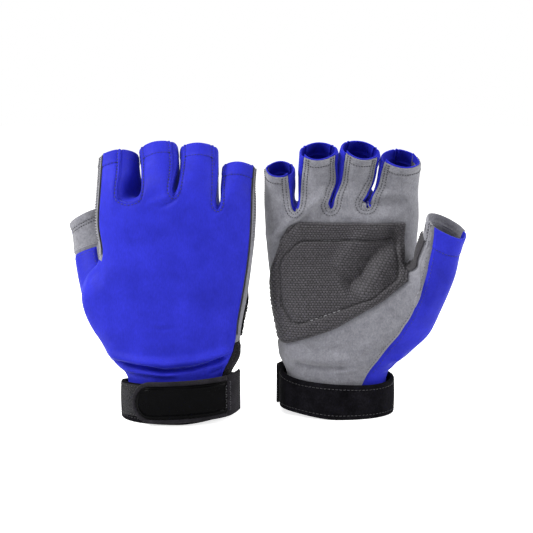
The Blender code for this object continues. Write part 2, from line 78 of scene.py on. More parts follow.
# Cuff and strap, as in the model; lengths along the cuff count from the little-finger side over the back
CUFF_CENTRE, CUFF_HALF_WIDTH, CUFF_HALF_DEPTH, CUFF_THICK = -0.9, 35.0, 23.5, 2.4
CUFF_TOP, CUFF_TOP_ACROSS, CUFF_DIP, CUFF_LIFT, CUFF_HEM = 25.0, 2.0, 3.4, 3.2, 2.8
WRAP_GAP, TAPE_THICK, TAPE_HEIGHT = 0.25, 0.6, 19.0
LOOP_SPAN, HOOK_SPAN = (21.0, 84.0), (24.0, 64.0)
STRAP_THICK, STRAP_HEIGHT, STRAP_SPAN = 1.3, 25.0, (2.0, 72.5)
STRAP_BASE, STRAP_SLOPE, STRAP_RAMP = 4.6, -0.055, (6.0, 18.0)
TAB_THICK, TAB_MARGIN, TAB_START = 1.1, 2.8, 17.5
BEND_SPAN = (2.5, 8.5)  # where the strap bends when it opens
LOOP_OUT = WRAP_GAP + TAPE_THICK
HOOK_OUT = LOOP_OUT + WRAP_GAP + TAPE_THICK
STRAP_OUT = HOOK_OUT + WRAP_GAP + STRAP_THICK

# The hand's rings: height, thumb side, little-finger side, back depth, palm depth, x of the palm's blue seam
HAND_RINGS = (
    (6, -31.6, 29.8, 19.8, 19.8, -9),
    (24.5, -31.6, 29.6, 19.5, 19.6, -17.5),
    (34, -41.5, 34.6, 19.4, 21.0, -23.5),
    (46, -49.5, 35.2, 18.8, 21.8, -31.0),
    (58, -57.0, 37.0, 18.2, 22.0, -38.0),
    (76, -60.5, 40.4, 17.6, 20.0, -46.5),
    (95, -49.5, 43.0, 17.0, 16.8, -39.0),
    (113, -49.3, 44.6, 16.2, 15.6, -37.5),
)
ROUNDNESS = (2.0, 2.5)
BULGES = ((-36, 62, 22, 5.5), (24, 52, 22, 2.5), (2, 92, 20, -4.5))  # x, z, radius and height
PLACED = {  # (ring, column) of points given one by one: the thumb's root and the vent above the cuff
    (3, 24): (-47.0, 14.5, 45),
    (4, 23): (-38.0, 25.8, 57),
    (4, 24): (-54.5, 14.5, 56),
    (4, 25): (-56.5, -1.0, 58),
    (5, 23): (-43.8, 26.8, 76),
    (5, 25): (-60.5, 0.0, 78),
    (6, 23): (-37.2, 17.2, 91.0),
    (6, 24): (-41.8, 9.2, 94.0),
    (6, 25): (-48.4, 1.6, 95.5),
    (1, 11): (25.6, -10.2, 24.5),
    (2, 11): (28.8, -12.3, 34),
    (3, 11): (33.6, -7.5, 46.5),
    (2, 12): (35.6, -1.0, 36.5),
}
FINGER_BACK = ((-46.3, -40.4, -34.2), (-22.6, -12.6, -3.6), (-0.4, 10.8, 21.6), (24.8, 33.6, 42.6))
FINGER_PALM = ((-45.0, -34.0, -17.5), (-16.2, -6.5, 3.6), (4.8, 14.0, 23.4), (26.4, 34.0, 42.4))
PALM_COLUMNS = ((-45.0, -34.0, -20.5), (-15.7, -7.0, 1.2), (5.8, 13.8, 23.4), (26.4, 34.0, 42.4))
BASE_DEPTH = 15.4
CROTCHES = (130.0, 132.5, 136.5, 128.5, 129.0)
PALM_DROPS, PALM_DROP = (3.0, 3.4, 8.0, 3.0, 3.0), 3.0
FINGER_HEMS = (  # centre, half width, half depth and sideways tilt of each finger's opening
    ((-37.0, 12.6, 154.4), 11.5, 11.0, 9.0),
    ((-13.0, 14.4, 159.4), 11.5, 11.2, 9.0),
    ((11.4, 14.0, 158.8), 11.2, 10.8, -1.5),
    ((35.2, 10.4, 148.2), 9.6, 9.6, -4.0),
)
FINGER_EDGES = (
    (222, 254, 286, 338, 28, 90, 152, 185),
    (206, 258, 314, 350, 28, 90, 152, 178),
    (214, 270, 326, 356, 32, 90, 156, 184),
    (204, 270, 335, 5, 45, 90, 128, 165),
)
# (finger, edge): how far the palm's edges move across at each ring, which narrows the gaps on the palm side
SLIT_MOVES = {
    (0, 4): (0.0, 1.3, 0.9),
    (1, 6): (-2.0, -1.2, 0.0),
    (1, 4): (-2.9, -1.8, -0.4),
    (2, 6): (-2.4, -0.6, 0.1),
}
CURL = 30.0
THUMB_RINGS = (  # centre, radius, axis and the eight edges' directions
    ((-53.6, 18.8, 87.2), 13.8, (-0.56, 0.30, 0.77), (194, 238, 282, 326, 22, 40, 58, 126)),
    ((-55.0, 23.6, 96.5), 13.0, (-0.26, 0.34, 0.90), (191, 235, 279, 323, 24, 41, 58, 124)),
    ((-57.2, 27.8, 108.0), 12.6, (-0.34, 0.34, 0.88), (196, 240, 284, 330, 30, 42, 54, 125)),
    ((-59.2, 30.6, 117.0), 13.1, (-0.40, 0.33, 0.85), (193, 237, 281, 328, 20, 32, 44, 122)),
)
PATCH_OUTLINE = (  # seen from the palm with the thumb at the right: corners and their rounding
    ((40.0, 117.2), 1.2),
    ((38.8, 94.0), 0.6),
    ((41.6, 92.6), 0.6),
    ((41.0, 83.6), 1.2),
    ((26.0, 71.6), 10.0),
    ((-1.0, 55.6), 40.0),
    ((-34.6, 43.8), 5.5),
    ((-40.3, 66.0), 18.0),
    ((-38.9, 89.0), 16.0),
    ((-30.0, 117.6), 11.0),
)
QUILT_OUTLINE = (
    ((34.0, 107.5), 3.0),
    ((35.5, 84.5), 3.0),
    ((19.2, 73.0), 10.0),
    ((-0.7, 65.2), 30.0),
    ((-25.0, 57.0), 6.0),
    ((-32.0, 68.0), 12.0),
    ((-34.3, 94.0), 12.0),
    ((-22.5, 106.6), 9.0),
)
PALE_STITCHES = (((-9.0, 2.0), (104.0, 110.0)), ((-17.0, 2.0), (56.0, 67.0)))  # where the quilting is pale
CELL = (1.8, 1.4)  # width and height of the patch's raised cells

# Folds of the cloth: points (x, z) along each, its half width and its height, which is below 0 in a crease
BACK_FOLDS = (
    (((-44, 42.2), (-36, 39.7), (-24, 37.6), (-8, 36), (11, 37.8), (24, 40.8), (33, 44.2)), 2.5, 2.9),
    (((-41, 35.8), (-33, 34.8), (-24, 33.6), (-8, 31.6), (8, 33), (21, 36.2), (30, 40.4)), 1.3, -3.9),
    (((-38, 32.4), (-26, 30.6), (-12, 29.4), (2, 29.6)), 1.5, 1.1),
    (((-36, 28.6), (-26, 27.8), (-14, 27.2)), 1.1, -1.1),
    (((17, 31.4), (24, 34.4), (30, 38)), 1.2, 0.7),
    (((16, 28.6), (24, 30.6), (30, 34.4)), 1.1, -0.8),
    (((-18, 59.6), (-10, 58.8), (-3, 59)), 1.2, 0.4),
    (((-16, 56.8), (-9, 56.2), (-2, 56.2)), 1.0, -0.5),
    (((-24, 47.6), (-10, 46.8), (6, 48)), 2.4, 0.3),
    (((-12.5, 127), (-7, 129), (-2, 132), (1.6, 135.4)), 1.3, -1.2),
    (((-20, 128), (-13, 130.6), (-6, 133), (-1, 136.4)), 1.7, 0.8),
    (((-3, 124.8), (5, 127.6), (12, 128.6)), 2.4, 0.45),
    (((-20, 124.6), (-12, 122.4), (-2, 120.4)), 3.0, -0.3),
    (((-30, 107.4), (-24, 106.2), (-17, 105.8)), 1.6, -0.28),
    (((-34, 111), (-26, 109.4), (-14, 109)), 2.6, 0.3),
    (((20, 121), (26, 124), (31, 128)), 1.8, 0.35),
    (((-50, 97), (-47.5, 88), (-46.5, 78)), 3.0, -0.7),
    (((-52, 92), (-53.5, 84), (-53, 76)), 2.6, 0.5),
)
PALM_FOLDS = (
    (((6, 137), (12, 130), (22, 122.5), (31, 115), (37, 110), (43, 106)), 2.8, 2.0),
    (((14, 123.5), (24, 117.6), (32, 109.6), (39, 104.5)), 2.0, -1.4),
    (((2, 131), (8, 126), (16, 121.5)), 2.4, -1.0),
    (((-42, 123), (-34, 121), (-24, 120.4), (-8, 121.4), (4, 121)), 2.8, 1.3),
    (((-43, 130), (-36, 128.4), (-26, 128), (-15, 129), (-8, 130)), 2.6, -1.6),
    (((-44, 136), (-36, 134.6), (-28, 134.4), (-21, 135)), 2.8, 0.9),
    (((-38, 115), (-31, 108), (-23.5, 102), (-18, 95), (-13.5, 87), (-7, 81.6), (-1, 78.6)), 5.0, -3.1),
    (((-42, 104), (-34, 97), (-26, 89), (-20, 79), (-12, 72)), 4.8, 1.3),
    (((-26, 118), (-14, 110), (-6, 99), (2, 88)), 4.8, 1.3),
    (((-36, 88), (-28, 82), (-18, 77)), 2.6, -0.7),
    (((26, 33.6), (14, 31.6), (2, 31), (-8, 31.6)), 2.2, -1.1),
    (((30, 38), (18, 36.2), (2, 36), (-12, 37)), 3.2, 1.2),
    (((24, 45), (12, 43), (0, 42.6), (-10, 44)), 2.6, -0.7),
    (((4, 28.6), (-6, 29.4), (-14, 31.6)), 1.4, 0.9),
    (((-9, 43), (-18, 46), (-26, 52)), 3.6, 0.9),
    (((-12, 37.6), (-20, 41.4), (-28, 46)), 2.2, -0.8),
    (((-41, 38.6), (-36, 36.6), (-31, 35)), 1.6, 1.5),
    (((-42, 34.6), (-36, 32.6), (-30, 31.2)), 1.2, -1.3),
    (((-37, 30.2), (-31, 28.4), (-25, 27.4)), 1.2, 0.9),
    (((-52, 84), (-50, 72), (-45, 60)), 2.6, -0.6),
    (((-57, 88), (-56, 76), (-52, 64)), 3.0, 0.5),
    (((-37, 140), (-31, 139), (-26, 140)), 3.0, 0.7),
    (((-13, 146), (-8, 145), (-3, 146)), 3.2, 0.6),
    (((8, 143), (14, 142), (19, 143)), 3.2, 0.6),
    (((12, 134), (18, 133), (23, 134)), 2.4, -0.6),
)
FOLD_TAPER, PALM_FOLD_SCALE = 7.0, 1.3  # length of a fold's fading ends; the palm's folds are taller by this

BACK, PALM, THUMB, WEB_1, WEB_2, WEB_3, VENT, STRIP = range(8)
WEBS = (WEB_1, WEB_2, WEB_3)
FINGER_HEM, THUMB_HEM, WRIST_HEM = -1, -2, -3  # what lies beyond a panel's rim where no panel does


# ---------------------------------------------------------------- small helpers


def ramp(value, start, end):
    """A smooth rise from 0 at start to 1 at end, of a number or an array."""
    share = np.clip((value - start) / (end - start), 0, 1)
    return share * share * (3 - 2 * share)


def peak(value, centre, width):
    """A smooth hump of height 1."""
    return np.exp(-(((value - centre) / width) ** 2))


def unit(vectors):
    return vectors / np.maximum(np.linalg.norm(vectors, axis=-1, keepdims=True), 1e-9)


def read(items, key, width, kind=float):
    """An attribute of all of a mesh's items, as an array with that many columns."""
    values = np.zeros(len(items) * width, kind)
    items.foreach_get(key, values)
    return values.reshape(-1, width) if width > 1 else values


# ---------------------------------------------------------------- the hand surface, as in the model


def dome(share, height):
    power = ROUNDNESS[0] + (ROUNDNESS[1] - ROUNDNESS[0]) * ramp(height, 23, 45)
    return max(0.0, 1 - abs(share) ** power) ** (1 / power)


def swell(x, z):
    return sum(h * math.exp(-((x - bx) ** 2 + (z - bz) ** 2) / r**2) for bx, bz, r, h in BULGES)


def spread(values, left, right):
    """Finger-base positions carried to a narrower or wider ring."""
    first, last = FINGER_BACK[0][0] - 2.5, FINGER_BACK[3][2] + 2.5
    return [left + (v - first) / (last - first) * (right - left) for v in values]


def hand_ring(height, left, right, back, palm, seam):
    """26 points round the hand: 12 on the back, the little-finger side, 12 on the palm, the thumb side."""
    centre, half = (left + right) / 2, (right - left) / 2
    back_x = spread([x for finger in FINGER_BACK for x in finger], left, right)
    palm_x = spread([x for finger in PALM_COLUMNS for x in finger], left, right)
    scale = (right - seam) / (right - palm_x[1])
    palm_x = [(left + seam) / 2 - 1.5, seam] + [right - (right - x) * scale for x in palm_x[2:]]
    ring = [Vector((x, -back * dome((x - centre) / half, height), height)) for x in back_x]
    ring.append(Vector((right, 0, height)))
    for x in reversed(palm_x):
        ring.append(Vector((x, palm * dome((x - centre) / half, height) + swell(x, height), height)))
    ring.append(Vector((left, 0, height)))
    return ring


def base_ring():
    """The ring at the finger bases, and the six points down the middle of the three webs."""
    left, right = FINGER_BACK[0][0] - 2.5, FINGER_BACK[3][2] + 2.5
    centre, half = (left + right) / 2, (right - left) / 2
    back, palm, web = [], [], []
    for finger in range(4):
        low, high = CROTCHES[finger], CROTCHES[finger + 1]
        heights = (low, (low + high) / 2 + 2, high)
        for x, z in zip(FINGER_BACK[finger], heights):
            back.append(Vector((x, 0.8 - BASE_DEPTH * dome((x - centre) / half, z), z)))
        for x, z in zip(FINGER_PALM[finger], heights):
            palm.append(Vector((x, 0.8 + BASE_DEPTH * dome((x - centre) / half, z), z)))
        for point, drop in zip(palm[-3:], (PALM_DROPS[finger], PALM_DROP, PALM_DROPS[finger + 1])):
            point.z -= drop
    for gap in range(3):
        for side in (3 * gap + 2, 3 * gap + 3):
            middle = (back[side] + palm[side]) / 2
            web.append(Vector((middle.x, middle.y, middle.z + 2)))
    ring = back + [Vector((right, 1, CROTCHES[4]))] + palm[::-1] + [Vector((left, 1, CROTCHES[0]))]
    return ring, web


def round_ring(centre, axis, across, depth, edges):
    """Points round an axis in the given directions, counted in degrees from the right towards the palm."""
    axis = Vector(axis).normalized()
    forward = axis.cross(Vector((1, 0, 0))).normalized()
    right = forward.cross(axis).normalized()
    ring = []
    for edge in edges:
        angle = math.radians(edge)
        ring.append(Vector(centre) + right * across * math.cos(angle) + forward * depth * math.sin(angle))
    return ring


def finger_rings(finger, base):
    """Rings from a finger's base to its opening: the outline changes evenly and the finger bends forwards."""
    centre, width, depth, tilt = FINGER_HEMS[finger]
    lean, roll = math.radians(CURL), math.radians(tilt)
    axis = Vector((-math.sin(roll), math.sin(lean) * math.cos(roll), math.cos(lean) * math.cos(roll)))
    end = round_ring(centre, axis, width, depth, FINGER_EDGES[finger])
    root = sum(base, Vector()) / 8
    control = root + Vector((0, 0.5, (centre[2] - root.z) * 0.55))
    rings = []
    for number, share in enumerate((0.36, 0.7, 1.0)):
        path = root * (1 - share) ** 2 + control * 2 * share * (1 - share) + Vector(centre) * share**2
        blend = share * (2 - share)
        kept = [path + (b - root) * (1 - blend) for b in base]
        rings.append([b + (e - Vector(centre)) * blend for b, e in zip(kept, end)])
        for edge in (4, 6):
            rings[-1][edge].x += SLIT_MOVES.get((finger, edge), (0, 0, 0))[number]
    return rings


def hand_panel(level, column):
    """The panel of the face above a ring, between a column and the next; None where the thumb leaves."""
    if column in (23, 24):
        if level in (4, 5):
            return None
        return BACK if level < 4 else PALM
    if column == 25:
        return BACK if level < 6 else PALM
    if column == 11:
        return (BACK, VENT, VENT)[level] if level < 3 else PALM
    return BACK if column < 11 else PALM


def surface_points(splay):
    """All points of the control surface, and its faces as (corners, panel)."""
    points, faces = [], []

    def add(ring):
        points.extend(ring)
        return list(range(len(points) - len(ring), len(points)))

    def bridge(lower, upper, panels):
        for i, panel in enumerate(panels):
            j = (i + 1) % len(lower)
            if panel is not None:
                faces.append(((lower[i], lower[j], upper[j], upper[i]), panel))

    hand = [hand_ring(*ring) for ring in HAND_RINGS]
    for (level, column), place in PLACED.items():
        hand[level][column] = Vector(place)
    fingers_base, web = base_ring()
    for ring in hand:
        for point in ring:
            point.x -= splay[0] * ramp(point.x, *SPLAY_REACH[0]) * (1 - ramp(point.z, *SPLAY_FADE))
    rings = [add(ring) for ring in hand] + [add(fingers_base)]
    webs = add(web)
    for level in range(len(rings) - 1):
        bridge(rings[level], rings[level + 1], [hand_panel(level, column) for column in range(26)])
    top = rings[-1]
    for finger in range(4):
        back, palm = top[3 * finger : 3 * finger + 3], [top[24 - 3 * finger - k] for k in range(3)]
        right = webs[2 * finger] if finger < 3 else top[12]
        left = webs[2 * finger - 1] if finger > 0 else top[25]
        lower = back + [right] + palm[::-1] + [left]
        left_side = (PALM, WEB_1, WEB_2, WEB_3)[finger]
        right_side = (WEB_1, WEB_2, WEB_3, PALM)[finger]
        panels = [BACK, BACK, right_side, right_side, PALM, PALM, left_side, left_side]
        base = [points[i] for i in lower]
        for ring in finger_rings(finger, base):
            upper = add(ring)
            bridge(lower, upper, panels)
            lower = upper
    for gap in range(3):
        a, b, c, d = top[3 * gap + 2], top[3 * gap + 3], webs[2 * gap + 1], webs[2 * gap]
        faces.append(((a, b, c, d), WEB_1 + gap))
        faces.append(((d, c, top[21 - 3 * gap], top[22 - 3 * gap]), WEB_1 + gap))
    root = ((4, 25), (5, 25), (6, 25), (6, 24), (6, 23), (5, 23), (4, 23), (4, 24))
    lower = [rings[level][column] for level, column in root]
    for number, (centre, radius, axis, edges) in enumerate(THUMB_RINGS):
        centre = Vector(centre) - Vector((splay[0], 0, 0))
        upper = add(round_ring(centre, axis, radius, radius, edges))
        behind = BACK if number < 2 else THUMB
        inner = STRIP if number < 3 else THUMB
        bridge(lower, upper, [behind, behind, THUMB, inner, PALM, PALM, BACK, BACK])
        lower = upper
    for point in points:
        point.x += splay[1] * ramp(point.x, *SPLAY_REACH[1])
    return points, faces


def smoothed(mesh, level):
    """The mesh after Catmull-Clark steps, in which its own vertices come first and are at their limit."""
    helper = bpy.data.objects.new("helper", mesh)
    bpy.context.scene.collection.objects.link(helper)
    subdivision = helper.modifiers.new("round", "SUBSURF")
    subdivision.levels = subdivision.render_levels = level
    graph = bpy.context.evaluated_depsgraph_get()
    result = bpy.data.meshes.new_from_object(helper.evaluated_get(graph))
    bpy.data.objects.remove(helper)
    return result


class Surface:
    """One glove's smooth surface in millimetres: points, normals, quads and each quad's panel."""

    def __init__(self, splay, seed):
        points, faces = surface_points(splay)
        mesh = bpy.data.meshes.new("control_surface")
        mesh.from_pydata([p * MM for p in points], [], [corners for corners, _ in faces])
        mesh.polygons.foreach_set("material_index", [panel for _, panel in faces])
        targets = [vertex.co.copy() for vertex in mesh.vertices]
        for _ in range(4):
            reached = smoothed(mesh, 1)
            for vertex, target in zip(mesh.vertices, targets):
                vertex.co += target - reached.vertices[vertex.index].co
            mesh.update()
        fine = smoothed(mesh, FINE)
        self.points = read(fine.vertices, "co", 3) / MM
        self.normals = read(fine.vertices, "normal", 3)
        self.quads = read(fine.loops, "vertex_index", 1, np.int64).reshape(-1, 4)
        self.tags = read(fine.polygons, "material_index", 1, np.int64)
        self.points = self.points + self.normals * self.folds(seed)[:, None]
        fine.vertices.foreach_set("co", (self.points * MM).astype(np.float32).ravel())
        fine.update()
        self.normals = read(fine.vertices, "normal", 3)
        starts, ends = self.quads.ravel(), np.roll(self.quads, -1, axis=1).ravel()
        keys = starts * len(self.points) + ends
        order = np.argsort(keys)
        self.edge_keys, self.edge_tags = keys[order], np.repeat(self.tags, 4)[order]

    def folds(self, seed):
        """How far the cloth's folds and its slight unevenness move each point out."""
        places, facing = self.points[:, [0, 2]], self.normals[:, 1]
        height = np.zeros(len(places))
        on_back, on_palm = ramp(-facing, -0.55, -0.05), PALM_FOLD_SCALE * ramp(facing, -0.35, 0.1)
        for folds, side in ((BACK_FOLDS, on_back), (PALM_FOLDS, on_palm)):
            for line, width, rise in folds:
                away, along, total = line_distance(places, np.array(line, float))
                taper = ramp(np.minimum(along, total - along), -0.2, min(FOLD_TAPER, total / 2))
                height += rise * peak(away, 0, width) * taper * side
        height *= 1 - 0.75 * ramp(self.points[:, 2], 26.5, 23.5)
        uneven = [noise.noise(Vector(p) * 0.055 + Vector((seed, 0, 0))) for p in self.points]
        return height + 0.32 * np.array(uneven)

    def beyond(self, starts, ends):
        """What lies on the other side of directed rim edges: a panel's number, or which opening."""
        keys = ends * len(self.points) + starts
        found = np.minimum(np.searchsorted(self.edge_keys, keys), len(self.edge_keys) - 1)
        heights = ((self.points[starts] + self.points[ends]) / 2)[:, 2]
        openings = np.where(heights < 20, WRIST_HEM, np.where(heights > 138, FINGER_HEM, THUMB_HEM))
        return np.where(self.edge_keys[found] == keys, self.edge_tags[found], openings)


def line_distance(points, line):
    """Distance of flat points from a line, how far along it the nearest place is, and its length."""
    best, along, passed = np.full(len(points), 1e9), np.zeros(len(points)), 0.0
    for a, b in zip(line[:-1], line[1:]):
        step = b - a
        length = np.linalg.norm(step)
        share = np.clip((points - a) @ step / length**2, 0, 1)
        away = np.linalg.norm(points - a - share[:, None] * step, axis=1)
        nearer = away < best
        best = np.where(nearer, away, best)
        along = np.where(nearer, passed + share * length, along)
        passed += length
    return best, along, passed


# ---------------------------------------------------------------- sewn panels


class Panel:
    """The part of a surface that belongs to some panels, with its rim."""

    def __init__(self, surface, tags, trim=SEAM_GAP):
        faces = surface.quads[np.isin(surface.tags, tags)]
        used, numbers = np.unique(faces, return_inverse=True)
        self.quads = numbers.reshape(faces.shape)
        self.points, self.normals = surface.points[used].copy(), surface.normals[used]
        starts, ends = self.quads.ravel(), np.roll(self.quads, -1, axis=1).ravel()
        on_rim = ~np.isin(starts * len(used) + ends, ends * len(used) + starts)
        self.rim = np.stack([starts[on_rim], ends[on_rim]], axis=1)
        self.kinds = surface.beyond(used[self.rim[:, 0]], used[self.rim[:, 1]])
        self.rim_places = self.points[self.rim]
        self.trim(trim)

    def trim(self, gap):
        """Moves the rim's points inwards along the surface."""
        centres = self.points[self.quads].mean(axis=1)
        sums, counts = np.zeros_like(self.points), np.zeros(len(self.points))
        for corner in range(4):
            np.add.at(sums, self.quads[:, corner], centres)
            np.add.at(counts, self.quads[:, corner], 1)
        edge = np.unique(self.rim)
        inward = sums[edge] / counts[edge, None] - self.points[edge]
        normal = self.normals[edge]
        inward -= normal * (inward * normal).sum(axis=1, keepdims=True)
        self.points[edge] += unit(inward) * gap

    def distance(self, *kinds):
        """Each point's distance from the rim edges that border on those kinds."""
        ends = self.rim_places[np.isin(self.kinds, kinds)]
        if not len(ends):
            return np.full(len(self.points), 1e3)
        shares = np.linspace(0, 1, 6, endpoint=False)[None, :, None]
        targets = (ends[:, :1] + (ends[:, 1:] - ends[:, :1]) * shares).reshape(-1, 3)
        tree = KDTree(len(targets))
        for number, target in enumerate(targets):
            tree.insert(target, number)
        tree.balance()
        return np.array([tree.find(point)[2] for point in self.points])

    def mesh(self, height, thick=FABRIC_THICK, lip=None):
        """A closed sheet whose outer face is moved out by a height; the lip thins it at an opening."""
        height = np.broadcast_to(height, len(self.points))
        inner = height - thick * (1 - 0.35 * (0 if lip is None else lip))
        count = len(self.points)
        outer_points = self.points + self.normals * height[:, None]
        inner_points = self.points + self.normals * inner[:, None]
        starts, ends = self.rim.T
        walls = np.stack([ends, starts, starts + count, ends + count], axis=1)
        faces = np.concatenate([self.quads, self.quads[:, ::-1] + count, walls])
        return np.concatenate([outer_points, inner_points]), faces.tolist()

    def tree(self):
        """A search tree over the panel's surface, as triangles."""
        triangles = np.concatenate([self.quads[:, [0, 1, 2]], self.quads[:, [0, 2, 3]]])
        self.triangles = triangles
        return BVHTree.FromPolygons(self.points.tolist(), triangles.tolist())


def contour(panel, field, level, keep=None):
    """Lines over a panel where a field has a level, each as (points, normals)."""
    above = field > level
    corners = above[panel.quads].sum(axis=1)
    crossings, links = {}, {}
    for quad in panel.quads[(corners > 0) & (corners < 4)].tolist():
        cut = []
        for a, b in zip(quad, quad[1:] + quad[:1]):
            if above[a] != above[b]:
                key = (min(a, b), max(a, b))
                share = (level - field[key[0]]) / (field[key[1]] - field[key[0]])
                both = (panel.points, panel.normals)
                crossings[key] = [v[key[0]] * (1 - share) + v[key[1]] * share for v in both]
                cut.append(key)
        for one, other in zip(cut[::2], cut[1::2]):
            links.setdefault(one, []).append(other)
            links.setdefault(other, []).append(one)
    lines, seen = [], set()
    for start in sorted(links, key=lambda k: (len(links[k]), k)):
        if start in seen:
            continue
        line, here = [], start
        while here is not None:
            seen.add(here)
            line.append(here)
            here = next((k for k in links[here] if k not in seen), None)
        points, normals = (np.array([crossings[k][i] for k in line]) for i in (0, 1))
        good = np.ones(len(points), bool) if keep is None else keep(points)
        edges = np.flatnonzero(np.diff(np.concatenate([[0], good.astype(int), [0]])))
        for first, last in zip(edges[::2], edges[1::2]):
            if last - first > 4:
                lines.append((points[first:last], unit(normals[first:last])))
    return lines


# ---------------------------------------------------------------- stitches and cords


def laced(rings, wide, base=0, closed=False):
    """Faces between rings of points that follow one another; open ends are capped, closed ones are joined."""
    faces = []
    for number in range(rings if closed else rings - 1):
        here, after = base + number * wide, base + (number + 1) % rings * wide
        for k in range(wide):
            m = (k + 1) % wide
            faces.append((here + k, here + m, after + m, after + k))
    if not closed:
        faces.append(tuple(base + k for k in range(wide))[::-1])
        faces.append(tuple(base + (rings - 1) * wide + k for k in range(wide)))
    return faces


class Thread:
    """Stitches collected from many rows, made into one mesh."""

    def __init__(self, seed=3):
        self.frames = []
        self.random = random.Random(seed)

    def row(self, line, pitch=2.2, length=1.5, width=0.42, lift=0.05, zigzag=0.0):
        """Stitches along a line of (points, normals)."""
        points, normals = line
        reach = np.concatenate([[0], np.cumsum(np.linalg.norm(np.diff(points, axis=0), axis=1))])
        count = int(reach[-1] / pitch)
        for number in range(count):
            middle = (number + 0.5) * reach[-1] / count
            ends = [middle - length / 2, middle + length / 2]
            a, b = (np.array([np.interp(e, reach, points[:, i]) for i in range(3)]) for e in ends)
            normal = np.array([np.interp(middle, reach, normals[:, i]) for i in range(3)])
            if zigzag:
                side = unit(np.cross(normal, b - a)) * zigzag * (1 if number % 2 else -1)
                a, b = a - side, b + side
            turn = self.random.uniform(-0.06, 0.06)
            side = np.cross(normal, b - a) * turn
            self.frames.append((a - side, b + side, normal, width, lift))

    def mesh(self, ring=6):
        """A small arched, round-ended bar for each stitch."""
        shares = np.array([0, 0.08, 0.3, 0.5, 0.7, 0.92, 1.0])
        swells = np.array([0.25, 0.75, 1, 1, 1, 0.75, 0.25])
        arch = np.array([-0.55, -0.1, 0.25, 0.35, 0.25, -0.1, -0.55])
        points, faces = [], []
        angles = np.arange(ring) * 2 * math.pi / ring
        for number, (a, b, normal, width, lift) in enumerate(self.frames):
            side = unit(np.cross(normal, b - a))
            up = unit(np.cross(b - a, side))
            for share, swell_, rise in zip(shares, swells, arch):
                middle = a + (b - a) * share + up * (lift + rise * width)
                radius = width / 2 * swell_
                for angle in angles:
                    points.append(middle - side * radius * math.cos(angle) + up * radius * math.sin(angle))
            base = number * len(shares) * ring
            faces += laced(len(shares), ring, base)
        return np.array(points), faces


def tube(lines, radius, lift, ring=8):
    """Round cords along lines of (points, normals), closed at both ends."""
    all_points, faces = [], []
    for points, normals in lines:
        faces += laced(len(points), ring, len(all_points))
        along = unit(np.gradient(points, axis=0))
        side = unit(np.cross(normals, along))
        up = np.cross(along, side)
        steps = np.arange(len(points))
        taper = np.minimum(1, (np.minimum(steps, steps[::-1]) + 0.6) / 2.5)
        for number, place in enumerate(points):
            for k in range(ring):
                angle = 2 * math.pi * k / ring
                out = side[number] * -math.cos(angle) + up[number] * math.sin(angle)
                all_points.append(place + up[number] * lift + out * radius * taper[number])
    return np.array(all_points), faces


def resampled(line, step):
    """A line of flat or solid points with points an even step apart."""
    line = np.array(line, float)
    reach = np.concatenate([[0], np.cumsum(np.linalg.norm(np.diff(line, axis=0), axis=1))])
    places = np.linspace(0, reach[-1], max(2, round(reach[-1] / step) + 1))
    return np.stack([np.interp(places, reach, line[:, i]) for i in range(line.shape[1])], axis=1)


# ---------------------------------------------------------------- flat pieces laid on a surface


def rounded(outline, inset=0.0, steps=8):
    """Points of an outline with rounded corners, each given as (place, radius), moved inwards by an inset."""
    points = []
    count = len(outline)
    for i, (corner, radius) in enumerate(outline):
        corner = Vector(corner)
        before = (Vector(outline[i - 1][0]) - corner).normalized()
        after = (Vector(outline[(i + 1) % count][0]) - corner).normalized()
        convex = 1 if before.x * after.y - before.y * after.x > 0 else -1
        half = before.angle(after) / 2
        bisector = (before + after).normalized()
        corner = corner + bisector * convex * inset / math.sin(half)
        radius = max(radius - convex * inset, 0.5)
        centre = corner + bisector * radius / math.sin(half)
        start = corner + before * radius / math.tan(half) - centre
        for step in range(steps + 1):
            angle = -convex * (math.pi - 2 * half) * step / steps
            cos, sin = math.cos(angle), math.sin(angle)
            points.append(centre + Vector((start.x * cos - start.y * sin, start.x * sin + start.y * cos)))
    return [tuple(p) for p in points]


